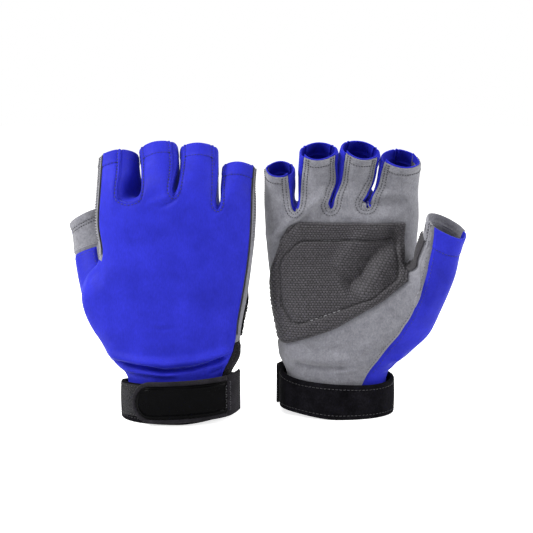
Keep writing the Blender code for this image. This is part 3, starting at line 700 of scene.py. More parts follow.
class Flat:
    """A flat piece: a closed outline filled with triangles, with rows of points along its edge."""

    def __init__(self, outline, step, grid, rows):
        ring = resampled(list(outline) + [outline[0]], step)[:-1]
        area = 0.5 * np.sum(ring[:, 0] * np.roll(ring[:, 1], -1) - np.roll(ring[:, 0], -1) * ring[:, 1])
        self.ring = ring if area > 0 else ring[::-1]
        closed = np.concatenate([self.ring, self.ring[:1]])
        along = unit(np.roll(self.ring, -1, axis=0) - np.roll(self.ring, 1, axis=0))
        inward = np.stack([-along[:, 1], along[:, 0]], axis=1)
        kept = []
        for row in rows:
            places = self.ring + inward * row
            away = line_distance(places, closed)[0]
            kept.append(places[away > row * 0.93])
        low, high = self.ring.min(axis=0), self.ring.max(axis=0)
        xs, ys = (np.arange(math.floor(a / g) * g, b + g, g) for a, b, g in zip(low, high, grid))
        lattice = np.stack([v.ravel() for v in np.meshgrid(xs, ys)], axis=1)
        away = self.signed(lattice, closed)
        kept.append(lattice[away > rows[-1] + 0.4 * min(grid)])
        self.points, self.triangles = self.fill(np.concatenate(kept))
        self.depth = line_distance(self.points, closed)[0]
        coarse = kept[-1][:: max(1, int(6 / (grid[0] * grid[1])))]
        self.under, self.under_triangles = self.fill(coarse)
        self.under_depth = line_distance(self.under, closed)[0]

    def signed(self, points, closed):
        """Distance from the outline, below 0 outside it."""
        inside = np.zeros(len(points), bool)
        for a, b in zip(closed[:-1], closed[1:]):
            crosses = (a[1] > points[:, 1]) != (b[1] > points[:, 1])
            if crosses.any():
                x = a[0] + (points[:, 1] - a[1]) * (b[0] - a[0]) / (b[1] - a[1])
                inside ^= crosses & (points[:, 0] < x)
        return np.where(inside, line_distance(points, closed)[0], -1)

    def fill(self, inner):
        count = len(self.ring)
        places = [Vector(p) for p in np.concatenate([self.ring, inner]).tolist()]
        result = delaunay_2d_cdt(places, [], [list(range(count))], 1, 1e-5)
        return np.array([tuple(v) for v in result[0]]), np.array([tuple(f) for f in result[2]])

    def mesh(self, place, top, bottom):
        """A closed solid whose faces, at heights made from (points, depth), meet at the outline."""
        count, between = len(self.ring), len(self.points) - len(self.ring)
        upper, lower = top(self.points, self.depth), bottom(self.under, self.under_depth)
        solid = np.concatenate([place(self.points, upper), place(self.under, lower)[count:]])
        under = self.under_triangles + between * (self.under_triangles >= count)
        return solid, self.triangles.tolist() + under[:, ::-1].tolist()


def plate(low, high, radius, extra=None):
    """Heights of a plate's two faces with a round edge, the top one with some relief on it."""
    middle, half = (low + high) / 2, (high - low) / 2

    def edge(depth):
        share = np.clip(depth / radius, 0, 1)
        return half * np.sqrt(1 - (1 - share) ** 2)

    def top(points, depth):
        relief = 0 if extra is None else extra(points, depth) * ramp(depth, 0, radius)
        return middle + edge(depth) + relief

    def bottom(points, depth):
        return middle - edge(depth)

    return top, bottom


class PalmPlace:
    """Lays flat pieces on the palm: flat points are (-x, z) in the glove's frame."""

    def __init__(self, surface):
        self.panel = Panel(surface, (PALM,))
        self.tree = self.panel.tree()

    def base(self, points):
        hits, triangles = [], []
        for x, z in points.tolist():
            hit, _, index, _ = self.tree.ray_cast(Vector((-x, 80, z)), Vector((0, -1, 0)))
            if hit is None:
                hit, _, index, _ = self.tree.find_nearest(Vector((-x, 20, z)))
            hits.append(hit)
            triangles.append(index)
        hits, corners = np.array(hits), self.panel.triangles[triangles]
        a, b, c = (self.panel.points[corners[:, k]] for k in range(3))
        whole = np.cross(b - a, c - a)
        scale = (whole * whole).sum(axis=1)
        sides = ((b, c), (c, a), (a, b))
        weights = [(np.cross(q - p, hits - p) * whole).sum(axis=1) / scale for p, q in sides]
        normals = sum(w[:, None] * self.panel.normals[corners[:, k]] for k, w in enumerate(weights))
        return hits, unit(normals)

    def __call__(self, points, height):
        spots, normals = self.base(points)
        return spots + normals * np.broadcast_to(height, len(points))[:, None]


def cuff_table(steps=720):
    """Along the cuff's outer ellipse from its little-finger side, over the back: arc lengths and angles."""
    angles = -2 * math.pi * np.arange(steps + 1) / steps
    points = np.stack([CUFF_HALF_WIDTH * np.cos(angles), CUFF_HALF_DEPTH * np.sin(angles)], axis=1)
    return np.concatenate([[0], np.cumsum(np.linalg.norm(np.diff(points, axis=0), axis=1))]), angles


CUFF_LENGTHS, CUFF_ANGLES = cuff_table()


def cuff_place(points, height, drop=0.0):
    """Lays flat points (along, up) round the cuff, that far out from it."""
    angles = np.interp(points[:, 0] % CUFF_LENGTHS[-1], CUFF_LENGTHS, CUFF_ANGLES)
    spots = np.stack([CUFF_HALF_WIDTH * np.cos(angles), CUFF_HALF_DEPTH * np.sin(angles)], axis=1)
    normals = unit(spots / np.array([CUFF_HALF_WIDTH**2, CUFF_HALF_DEPTH**2]))
    out = np.broadcast_to(height, len(points)) - drop * (1 - ramp(points[:, 0], *STRAP_RAMP))
    spots = spots + normals * out[:, None]
    return np.stack([CUFF_CENTRE + spots[:, 0], spots[:, 1], points[:, 1]], axis=1)


def strap_place(points, height):
    return cuff_place(points, height, HOOK_OUT)


def laid(place, line, height, step=0.7):
    """A flat line as (points, normals) on a surface."""
    line = resampled(line, step)
    points = place(line, height)
    return points, unit(place(line, height + 1.0) - points)


# ---------------------------------------------------------------- materials


def add_node(tree, kind, inputs=None, **settings):
    """A shader node with its settings, whose inputs are values or other nodes' outputs."""
    node = tree.nodes.new("ShaderNode" + kind)
    for key, value in settings.items():
        setattr(node, key, value)
    for key, value in (inputs or {}).items():
        if isinstance(value, bpy.types.NodeSocket):
            tree.links.new(value, node.inputs[key])
        else:
            node.inputs[key].default_value = value
    return node


class Finish:
    """A Principled material with procedural colour, roughness and bump."""

    def __init__(self, name, **fixed):
        self.material = bpy.data.materials.new(name)
        self.material.use_nodes = True
        self.tree = self.material.node_tree
        self.shader = self.tree.nodes["Principled BSDF"]
        self.place = add_node(self.tree, "TexCoord").outputs["Object"]
        self.normal = None
        for key, value in fixed.items():
            self.shader.inputs[key.replace("_", " ")].default_value = value

    def noise(self, size, detail=3.0, stretch=(1, 1, 1), rough=0.55):
        """Noise whose features are about that many millimetres across."""
        vector = self.stretched(stretch)
        inputs = {"Vector": vector, "Scale": 1 / (size * MM), "Detail": detail, "Roughness": rough}
        return add_node(self.tree, "TexNoise", inputs).outputs["Fac"]

    def stretched(self, stretch):
        if stretch == (1, 1, 1):
            return self.place
        return add_node(self.tree, "Mapping", {"Vector": self.place, "Scale": stretch}).outputs["Vector"]

    def ribs(self, period, direction, uneven=0.0, size=1.0):
        """Even ribs with a period in millimetres."""
        inputs = {"Vector": self.place, "Scale": 2 * math.pi / (20 * period * MM), "Distortion": uneven,
                  "Detail": 1.0, "Detail Scale": size}
        return add_node(self.tree, "TexWave", inputs, bands_direction=direction).outputs["Fac"]

    def cells(self, size, stretch=(1, 1, 1), feature="F1"):
        inputs = {"Vector": self.stretched(stretch), "Scale": 1 / (size * MM)}
        return add_node(self.tree, "TexVoronoi", inputs, feature=feature).outputs["Distance"]

    def shades(self, value, *stops):
        """Colours or greys along a value, as (place, colour) stops."""
        node = add_node(self.tree, "ValToRGB", {"Fac": value})
        elements = node.color_ramp.elements
        while len(elements) < len(stops):
            elements.new(0.5)
        for element, (spot, colour) in zip(elements, stops):
            element.position = spot
            element.color = (*colour, 1) if isinstance(colour, tuple) else (colour, colour, colour, 1)
        return node.outputs["Color"]

    def times(self, one, other):
        """The product of two colours."""
        node = add_node(self.tree, "Mix", data_type="RGBA", blend_type="MULTIPLY")
        node.inputs[0].default_value = 1.0
        self.tree.links.new(one, node.inputs[6])
        self.tree.links.new(other, node.inputs[7])
        return node.outputs[2]

    def bump(self, height, depth, strength=1.0):
        """Adds relief that many millimetres deep."""
        inputs = {"Height": height, "Distance": depth * MM, "Strength": strength}
        if self.normal is not None:
            inputs["Normal"] = self.normal
        self.normal = add_node(self.tree, "Bump", inputs).outputs["Normal"]

    def done(self, colour, roughness=None):
        self.tree.links.new(colour, self.shader.inputs["Base Color"])
        if roughness is not None:
            self.tree.links.new(roughness, self.shader.inputs["Roughness"])
        if self.normal is not None:
            self.tree.links.new(self.normal, self.shader.inputs["Normal"])
        return self.material


def stretch_knit():
    """Blue warp-knit stretch cloth: fine upright wales, a soft sheen and a slightly uneven dye."""
    finish = Finish("stretch_knit", Sheen_Weight=0.42, Sheen_Roughness=0.3, Specular_IOR_Level=0.12)
    finish.shader.inputs["Sheen Tint"].default_value = (0.25, 0.3, 1.0, 1)
    wales, grain = finish.ribs(0.55, "X", 1.2, 3.0), finish.noise(0.6, 3.0)
    finish.bump(wales, 0.05, 0.7)
    finish.bump(grain, 0.08, 0.6)
    dye = finish.shades(finish.noise(16, 3.0), (0.3, (0.013, 0.016, 0.36)), (0.7, (0.020, 0.024, 0.48)))
    speckle = finish.shades(finish.noise(1.1, 3.0, (1.4, 1.4, 0.5), 0.7), (0.3, 0.76), (0.7, 1.0))
    rough = finish.shades(finish.noise(5, 2.0), (0.3, 0.52), (0.7, 0.66))
    return finish.done(finish.times(dye, speckle), rough)


def suede():
    """Grey synthetic suede: a short nap that lies in soft patches, slightly worn and mottled."""
    finish = Finish("suede", Sheen_Weight=0.3, Sheen_Roughness=0.55, Specular_IOR_Level=0.15)
    nap, fibres = finish.noise(4.5, 4.0, rough=0.65), finish.noise(0.9, 4.0, (1, 1, 0.7), 0.75)
    finish.bump(fibres, 0.2, 0.8)
    finish.bump(finish.noise(2.2, 2.0), 0.2, 0.6)
    base = finish.shades(nap, (0.3, (0.165, 0.165, 0.188)), (0.72, (0.235, 0.235, 0.262)))
    flecks = finish.shades(fibres, (0.3, 0.62), (0.66, 1.05))
    wide = finish.shades(finish.noise(26, 2.0), (0.35, 0.88), (0.7, 1.0))
    colour = finish.times(finish.times(base, flecks), wide)
    return finish.done(colour, finish.shades(nap, (0.2, 0.82), (0.8, 0.95)))


def grip_mesh(name, dark, light):
    """Black coated mesh for grip, with a dull shine on its raised cells; a much darker copy of it is painted
    shade for the hollows between the patch's cells.
    """
    finish = Finish(name, Specular_IOR_Level=0.35, Sheen_Weight=0.1)
    fine = finish.cells(0.5, (1, 1, 1.4))
    finish.bump(fine, 0.08, 0.8)
    finish.bump(finish.noise(0.9, 3.0), 0.1, 0.6)
    wear = finish.noise(1.6, 5.0, rough=0.75)
    base = finish.shades(wear, (0.36, dark), (0.66, light))
    cells = finish.shades(fine, (0.1, 1.0), (0.6, 0.7))
    return finish.done(finish.times(base, cells), finish.shades(wear, (0.2, 0.5), (0.8, 0.74)))


def neoprene(name, dark, light, soft, ribbed=False):
    """Black neoprene with a knitted face that is soft to some degree, a little dusty on its raised parts."""
    finish = Finish(name, Sheen_Weight=soft, Sheen_Roughness=0.35, Specular_IOR_Level=soft)
    if ribbed:
        finish.bump(finish.ribs(1.1, "Z", 0.3), 0.12, 0.7)
    knit = finish.noise(0.7, 3.0, (1, 1, 0.6))
    finish.bump(knit, 0.16, 0.8)
    finish.bump(finish.noise(6, 2.0), 0.25, 0.5)
    dust = finish.noise(9, 5.0, rough=0.72)
    base = finish.shades(dust, (0.32, dark), (0.72, light))
    flecks = finish.shades(knit, (0.3, 0.5), (0.68, 1.3))
    return finish.done(finish.times(base, flecks), finish.shades(dust, (0.2, 0.78), (0.8, 0.95)))


def moulding():
    """Glossy black flexible moulding: slightly wavy, with finer scuffs in its gloss."""
    finish = Finish("moulding", Specular_IOR_Level=0.035)
    finish.bump(finish.noise(7, 2.0), 0.35, 0.5)
    finish.bump(finish.noise(0.8, 2.0), 0.02, 0.5)
    scuffs = finish.noise(3, 5.0, (1, 1, 3), 0.7)
    dark, light = (0.0006, 0.0006, 0.0007), (0.0016, 0.0016, 0.0019)
    base = finish.shades(finish.noise(12, 3.0), (0.3, dark), (0.7, light))
    return finish.done(base, finish.shades(scuffs, (0.35, 0.16), (0.75, 0.34)))


def tape(name, size, depth):
    """Hook or loop tape: black nylon pile of small tufts."""
    finish = Finish(name, Sheen_Weight=0.12, Specular_IOR_Level=0.1)
    tufts = finish.cells(size)
    finish.bump(tufts, depth, 1.0)
    finish.bump(finish.noise(size * 0.6, 3.0), depth, 0.7)
    base = finish.shades(tufts, (0.0, (0.024, 0.023, 0.027)), (0.7, (0.004, 0.004, 0.005)))
    rough = finish.shades(finish.noise(4, 2.0), (0.3, 0.75), (0.7, 0.92))
    return finish.done(base, rough)


def thread(name, dark, light, patch=1.2):
    """Twisted sewing thread, whose colour varies over patches of that many millimetres."""
    finish = Finish(name, Sheen_Weight=0.2, Specular_IOR_Level=0.35)
    twist = finish.ribs(0.32, "DIAGONAL", 0.5, 2.0)
    finish.bump(twist, 0.05, 0.8)
    base = finish.shades(finish.noise(patch, 3.0), (0.42, dark), (0.6, light))
    return finish.done(base, finish.shades(twist, (0.2, 0.5), (0.8, 0.7)))


def foam_cloth():
    """Pale tricot over the palm's foam, seen inside the glove."""
    finish = Finish("foam_cloth", Sheen_Weight=0.2, Specular_IOR_Level=0.2)
    finish.bump(finish.ribs(0.7, "Z", 0.6), 0.08, 0.7)
    grain = finish.noise(0.8, 3.0)
    finish.bump(grain, 0.08, 0.6)
    base = finish.shades(finish.noise(9, 3.0), (0.3, (0.25, 0.25, 0.26)), (0.7, (0.36, 0.36, 0.37)))
    return finish.done(base, finish.shades(grain, (0.2, 0.8), (0.8, 0.95)))


MATERIALS = {
    "stretch_blue": stretch_knit(),
    "suede_grey": suede(),
    "grip_black": grip_mesh("grip_cells", (0.034, 0.031, 0.036), (0.095, 0.087, 0.100)),
    # a much darker copy of the grip, painted shade for the hollows between the patch's raised cells
    "grip_gap_shade": grip_mesh("grip_gap_shade", (0.006, 0.0055, 0.0065), (0.016, 0.015, 0.017)),
    "grip_strip": grip_mesh("grip_strip", (0.020, 0.018, 0.021), (0.052, 0.048, 0.054)),
    "neoprene_black": neoprene("neoprene", (0.0012, 0.0011, 0.0016), (0.008, 0.0075, 0.010), 0.03),
    "binding_black": neoprene("binding", (0.006, 0.0055, 0.007), (0.020, 0.018, 0.023), 0.12, ribbed=True),
    "foam_grey": foam_cloth(),
    "tape_black": tape("loop_pile", 0.7, 0.3),
    "hooks_black": tape("hook_pile", 0.45, 0.35),
    "moulded_black": moulding(),
    "thread_black": thread("thread_black", (0.004, 0.004, 0.005), (0.014, 0.013, 0.016)),
    "thread_grey": thread("thread_grey", (0.020, 0.020, 0.024), (0.048, 0.048, 0.056)),
    "thread_pale": thread("thread_pale", (0.10, 0.10, 0.11), (0.42, 0.42, 0.44), 5.0),
    "thread_blue": thread("thread_blue", (0.003, 0.003, 0.04), (0.010, 0.011, 0.12)),
}


# ---------------------------------------------------------------- one glove


class Glove:
    """A glove's frame and the pieces made in it."""

    def __init__(self, number):
        self.name, self.turn = f"glove_{number + 1}", 1 - 2 * number
        low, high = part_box(f"{self.name}_cuff_band")
        middle = (low + high) / 2 / MM
        self.origin = np.array([middle.x - self.turn * CUFF_CENTRE, middle.y, 0])
        self.surface = Surface(SPLAY[number], 10.0 * number)
        self.palm_place = PalmPlace(self.surface)
        threads = ("thread_black", "thread_grey", "thread_pale", "thread_blue")
        self.threads = {key: Thread() for key in threads}
        self.strap_threads = Thread()

    def world(self, points):
        return (np.array(points) * np.array([self.turn, self.turn, 1]) + self.origin) * MM

    def add(self, name, mesh_data, material, replaces=(), sharp=48):
        """One piece from (points, faces); it stands for the model's nodes of the given names."""
        points, faces = mesh_data
        mesh = bpy.data.meshes.new(f"{self.name}_{name}")
        mesh.from_pydata(self.world(points).tolist(), [], faces)
        mesh.materials.append(MATERIALS[material])
        mesh.shade_smooth()
        mesh.set_sharp_from_angle(angle=math.radians(sharp))
        piece = bpy.data.objects.new(mesh.name, mesh)
        bpy.context.scene.collection.objects.link(piece)
        if replaces:
            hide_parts(*[f"{self.name}_{node}" for node in replaces])
        return piece

    def sew(self, thread, lines, *size):
        """Rows of stitches in a thread along lines; the size is their pitch, length, width and lift."""
        for line in lines:
            self.threads[thread].row(line, *size)

    def fixed(self, *args, **options):
        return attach(self.add(*args, **options), "gloves")

    def bending(self, *args, **options):
        """A piece of the strap, which stays sewn to the cuff at its end; its placement is baked into its mesh."""
        piece = self.add(*args, **options)
        start, end = (self.world(strap_place(np.array([[s, 16.0]]), 0.5))[0] for s in BEND_SPAN)
        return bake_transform(piece, "gloves", f"{self.name}_strap", start=tuple(start), end=tuple(end))


SUEDE_STITCH = (1.6, 1.0, 0.55, -0.05)
HEM_STITCH = (1.9, 1.6, 0.34, -0.1)
ZIGZAG = dict(pitch=1.5, length=1.2, width=0.42, lift=0.05, zigzag=0.6)


def dip(distance, depth, width):
    """How far cloth sinks at a seam: that depth on the seam, and 0 from that width on."""
    return -depth * (1 - ramp(distance, 0, width))


def turned_hem(hem, depth, width):
    """A hem's double thickness, with a groove where it ends."""
    return 0.3 * (1 - ramp(hem, depth - 1.0, depth + 0.2)) - 0.3 * peak(hem, depth, width)


def lip_of(hem):
    """How near a point is to an opening's edge, from 1 at the edge to 0."""
    return 1 - ramp(hem, 0, 1.3)


def make_back(glove):
    """The blue back: turned hems at the fingers, rolled and stitched edges round the gaps."""
    panel = Panel(glove.surface, (BACK,))
    web, seam = panel.distance(*WEBS), panel.distance(PALM, THUMB, VENT, STRIP)
    hem, thumb_hem = panel.distance(FINGER_HEM), panel.distance(THUMB_HEM)
    lip = np.maximum(lip_of(hem), lip_of(thumb_hem))
    height = dip(seam, 0.75, 1.6) + dip(web, 0.6, 0.9) - 0.45 * lip
    height += 0.5 * peak(web, 1.0, 0.8) - 0.35 * peak(web, 2.1, 0.45)
    height += turned_hem(hem, 9.4, 0.55) + turned_hem(thumb_hem, 11.4, 0.6)
    glove.fixed("back_fabric", panel.mesh(height, lip=lip), "stretch_blue", ["back_panel"])

    def beside_palm(points):
        return (points[:, 2] > 27) & (points[:, 2] < 100) & (points[:, 1] > 0)

    glove.sew("thread_blue", contour(panel, web, 2.0, lambda p: p[:, 2] > 100), 2.1, 1.4, 0.5, 0.0)
    glove.sew("thread_blue", contour(panel, hem, 9.3) + contour(panel, thumb_hem, 11.3), *HEM_STITCH)
    glove.sew("thread_blue", contour(panel, seam, 2.2, beside_palm), 2.4, 1.6, 0.3, -0.02)


def make_palm(glove):
    """The grey palm and finger fronts, with twin rows of stitches along their sides."""
    panel = Panel(glove.surface, (PALM,))
    web, side = panel.distance(*WEBS), panel.distance(BACK, VENT)
    thumb, hem = panel.distance(THUMB, STRIP), panel.distance(FINGER_HEM)
    lip = lip_of(np.minimum(hem, panel.distance(THUMB_HEM)))
    seam = np.minimum(np.minimum(web, side), thumb)
    rows = (2.6, 4.6)
    finger = ramp(panel.points[:, 2], 112, 120)
    height = dip(seam, 0.75, 1.6) - 0.35 * lip + 0.3 * peak(web, 1.5, 0.8) - 0.25 * peak(hem, rows[1], 0.5)
    for row in rows:
        height -= 0.22 * peak(web, row, 0.45) + 0.2 * finger * peak(side, row, 0.45)
    glove.fixed("palm_suede", panel.mesh(height, lip=lip), "suede_grey", ["palm_panel"])

    def on_finger(points):
        return points[:, 2] > 106

    def beside_back(points):
        return (points[:, 2] > 27) & (points[:, 2] < 100) & (points[:, 0] < -8)

    for row in rows:
        lines = contour(panel, web, row, on_finger) + contour(panel, side, row, on_finger)
        glove.sew("thread_grey", lines, *SUEDE_STITCH)
    across = np.where(seam < 4.4, 4.61 + (4.4 - seam), hem)
    glove.sew("thread_grey", contour(panel, across, rows[1]), *SUEDE_STITCH)
    glove.sew("thread_grey", contour(panel, side, 1.9, beside_back), 2.0, 1.3, 0.42, -0.1)


def make_thumb(glove):
    """The thumb's grey cap, with its wide stitched hem and ridged lower seam."""
    panel = Panel(glove.surface, (THUMB, STRIP))
    seam, hem = panel.distance(BACK, PALM), panel.distance(THUMB_HEM)
    lip, rows = lip_of(hem), (4.9, 6.6)
    height = dip(seam, 0.7, 1.5) - 0.35 * lip + 0.4 * peak(seam, 1.7, 0.8)
    height += 0.25 * (1 - ramp(hem, 4.2, 5.0)) - 0.25 * (peak(hem, rows[0], 0.45) + peak(hem, rows[1], 0.45))
    glove.fixed("thumb_suede", panel.mesh(height, lip=lip), "suede_grey", ["thumb_panel"])
    for row in rows:
        glove.sew("thread_grey", contour(panel, hem, row), 1.7, 1.1, 0.5, -0.08)
    glove.sew("thread_grey", contour(panel, seam, 2.6, lambda p: p[:, 1] < 16), 1.9, 1.3, 0.36, -0.05)


def make_webs(glove):
    """The blue walls between the fingers."""
    for tag, name in zip(WEBS, ("index_middle", "middle_ring", "ring_little")):
        panel = Panel(glove.surface, (tag,))
        hem, seam = panel.distance(FINGER_HEM), panel.distance(BACK, PALM)
        lip = lip_of(hem)
        height = dip(seam, 0.55, 1.3) - 0.35 * lip + 0.25 * (1 - ramp(hem, 5.5, 6.5))
        glove.fixed(f"web_{name}", panel.mesh(height, lip=lip), "stretch_blue", [f"fourchette_{name}"])
        glove.sew("thread_blue", contour(panel, np.where(seam < 1.2, 7, hem), 6.2), 1.9, 1.5, 0.34, -0.1)


def make_vent(glove):
    """The black leaf-shaped gusset above the cuff."""
    panel = Panel(glove.surface, (VENT,))
    seam = panel.distance(BACK, PALM)
    height = dip(seam, 0.4, 1.0) + 0.9 * ramp(seam, 0.4, 3.2)
    glove.fixed("vent_binding", panel.mesh(height), "binding_black", ["vent_gusset"])
    glove.sew("thread_black", contour(panel, seam, 1.6, lambda p: p[:, 2] > 26), 2.0, 1.3, 0.35, 0.2)


def make_strip(glove):
    """The black grip strip down the thumb's inner side, which lies on the thumb's suede."""
    panel = Panel(glove.surface, (STRIP,), 0.5)
    edge = panel.distance(THUMB, PALM, BACK)
    cells = cell_relief(panel.points[:, [1, 2]]) * ramp(edge, 0.4, 1.4)
    height = PIECE_GAP + 0.35 + 0.45 * ramp(edge, 0, 1.0) + cells
    mesh = panel.mesh(height, thick=0.75)
    glove.fixed("thumb_crotch_grip", mesh, "grip_strip", ["thumb_crotch_patch"])
    glove.sew("thread_black", contour(panel, edge, 1.3), 2.1, 1.4, 0.34, 0.75)


def cell_relief(points, height=0.5):
    """Rows of small pillows, each row shifted by half a pillow."""
    row = points[:, 1] / CELL[1]
    across = points[:, 0] / CELL[0] + 0.5 * (np.floor(row) % 2)
    u, v = np.abs(2 * (across % 1) - 1), np.abs(2 * (row % 1) - 1)
    return height * (1 - u**3) * (1 - v**3)


def make_patch(glove):
    """The padded grip patch: raised cells, a quilted middle, and a flat stitched border."""
    outline = rounded(PATCH_OUTLINE)
    flat = Flat(outline, 0.42, (CELL[0] / 4, CELL[1] / 4), rows=(0.15, 0.4, 0.8))
    quilt = np.array(rounded(QUILT_OUTLINE))
    quilt = np.concatenate([quilt, quilt[:1]])

    def relief(points, depth):
        line = line_distance(points, quilt)[0]
        middle = 1.3 * (1 - np.exp(-line / 5))
        border = 0.35 * ramp(line, 0, 2.5) * ramp(depth, 0.5, 2.5)
        puff = np.where(flat.signed(points, quilt) > 0, middle, border)
        groove = -0.75 * peak(line, 0, 0.75) - 0.3 * peak(depth, 1.5, 0.45)
        flatter = 1 - 0.7 * np.maximum(peak(line, 0, 0.8), 1 - ramp(depth, 0.8, 2.0))
        return puff + groove + cell_relief(points) * flatter

    top, bottom = plate(PIECE_GAP, PIECE_GAP + PATCH_THICK, 0.9, relief)
    solid = flat.mesh(glove.palm_place, top, bottom)
    piece = glove.fixed("palm_grip", solid, "grip_black", ["palm_patch"], sharp=75)
    # the faces in the hollows between the raised cells take the much darker copy: painted shade there
    piece.data.materials.append(MATERIALS["grip_gap_shade"])
    middles = flat.points[flat.triangles].mean(axis=1)
    shaded_gaps = np.zeros(len(piece.data.polygons), np.int32)
    shaded_gaps[: len(middles)] = cell_relief(middles, 1.0) < 0.42
    piece.data.polygons.foreach_set("material_index", shaded_gaps)
    glove.sew("thread_black", [laid_height(glove.palm_place, 1.5, top, flat)], 2.3, 1.7, 0.42, 0.1)
    quilt_patch(glove, resampled(quilt, 0.7))


def quilt_patch(glove, line):
    """The quilting's stitches, pale on a few stretches and black on the others."""
    pale = np.zeros(len(line), bool)
    for (left, right), (low, high) in PALE_STITCHES:
        pale |= (line[:, 0] > left) & (line[:, 0] < right) & (line[:, 1] > low) & (line[:, 1] < high)
    changes = np.flatnonzero(np.diff(pale)) + 1
    for part, is_pale in zip(np.split(line, changes), pale[np.concatenate([[0], changes])]):
        if len(part) > 3:
            row = laid(glove.palm_place, part, PIECE_GAP + PATCH_THICK - 0.45)
            glove.sew("thread_pale" if is_pale else "thread_black", [row], 2.5, 1.9, 0.34, 0.1)


def laid_height(place, inset, top, flat):
    """A row of points inside an outline, laid at the height of the piece there."""
    closed = np.concatenate([flat.ring, flat.ring[:1]])
    along = unit(np.roll(flat.ring, -1, axis=0) - np.roll(flat.ring, 1, axis=0))
    row = flat.ring + np.stack([-along[:, 1], along[:, 0]], axis=1) * inset
    row = row[line_distance(row, closed)[0] > inset * 0.93]
    row = np.concatenate([row, row[:1]])
    heights = top(row, np.full(len(row), inset))
    points = place(row, heights)
    return points, unit(place(row, heights + 1.0) - points)


def make_pad(glove):
    """The foam behind the patch, inside the glove, under a pale lining that is drawn in at its edge."""
    outline = rounded(PATCH_OUTLINE[:1] + PATCH_OUTLINE[3:], PAD_INSET)
    flat = Flat(outline, 0.8, (1.3, 1.3), rows=(0.2, 0.5, 0.9))
    near = -FABRIC_THICK - PIECE_GAP
    top, bottom = plate(near - PAD_THICK, near, 0.6)

    def drawn_in(points, depth):
        return bottom(points, depth) + 0.35 * peak(depth, 0.0, 3.0) * ramp(depth, 0, 1)

    solid = flat.mesh(glove.palm_place, top, drawn_in)
    piece = glove.fixed("palm_lining", solid, "foam_grey", ["palm_pad"])


def rim_chains(panel, kind):
    """Runs of points along a panel's rim where it borders on that kind, each in order."""
    following = dict(panel.rim[panel.kinds == kind].tolist())
    chains = []
    for start in sorted(set(following) - set(following.values())):
        chain = [start]
        while chain[-1] in following:
            chain.append(following[chain[-1]])
        chains.append(chain)
    return chains


def make_hem_linings(glove):
    """The back's blue cloth, turned in behind the finger fronts, which shows above their edges."""
    panel = Panel(glove.surface, (PALM,), 0.0)
    tree = panel.tree()
    points, faces = [], []
    for chain in rim_chains(panel, FINGER_HEM):
        edge, normals = panel.points[chain], panel.normals[chain]
        up = unit(np.cross(normals, unit(np.gradient(edge, axis=0))))
        up *= np.sign(up[:, 2].mean())
        rise = 0.55 + 1.1 * np.linspace(-1, 1, len(chain)) ** 4
        rows = []
        for below in (4.5, 3.0, 1.5, 0.4):
            rows.append(np.array([tree.find_nearest(Vector(spot))[0] for spot in edge - up * below]))
        for share in (1 / 3, 2 / 3, 1):
            rows.append(edge + up * (rise * share)[:, None])
        near, far = (normals * depth for depth in LINING_DEPTHS)
        ring = [row - near for row in rows] + [row - far for row in rows[::-1]]
        laces = laced(len(chain), len(ring), len(points))
        faces += [(a, d, c, b) for a, b, c, d in laces[:-2]]  # turned over, as this ring runs the other way round
        faces += [cap[::-1] for cap in laces[-2:]]
        points += [row[i] for i in range(len(chain)) for row in ring]
    glove.fixed("finger_hem_linings", (np.array(points), faces), "stretch_blue")


def make_seam_lines(glove):
    """Dark piping in the seams beside the index and little fingers and along the thumb."""
    panel = Panel(glove.surface, (PALM,), 0.0)
    side = panel.distance(BACK, VENT)
    radial = contour(panel, side, 0.35, lambda p: (p[:, 0] < -40) & (p[:, 2] > 98) & (p[:, 1] < 14))
    ulnar = contour(panel, side, 0.35, lambda p: (p[:, 0] > 25) & (p[:, 2] > 50))
    glove.fixed("seam_piping", tube(radial + ulnar, 0.42, -0.25), "thread_black")


def cuff_rims(spot):
    """Heights of the cuff's foot and top at a place on its outline."""
    across, palm = (spot[0] - CUFF_CENTRE) / CUFF_HALF_WIDTH, spot[1] / CUFF_HALF_DEPTH
    foot = CUFF_LIFT * ramp(across, 0, 1)
    return foot, CUFF_TOP + CUFF_TOP_ACROSS * across - CUFF_DIP * ramp(palm, -0.3, 1)


def cuff_section(foot, top):
    """Points round the band's cross-section, as distances out and heights, with half-round edges."""
    half = CUFF_THICK / 2
    low, high = foot + half, top - half
    arc = [(half * math.cos(angle), half * math.sin(angle)) for angle in np.linspace(0, math.pi / 2, 5)]
    back = arc[-2::-1]
    outer = [(0.0, height) for height in np.linspace(low, high, 22)]
    crown = [(c - half, high + s) for c, s in arc] + [(-c - half, high + s) for c, s in back]
    inner = [(-CUFF_THICK, height) for height in np.linspace(high, low, 10)]
    sole = [(-c - half, low - s) for c, s in arc] + [(c - half, low - s) for c, s in back]
    return np.array(outer + crown[1:] + inner[1:] + sole[1:-1]).T


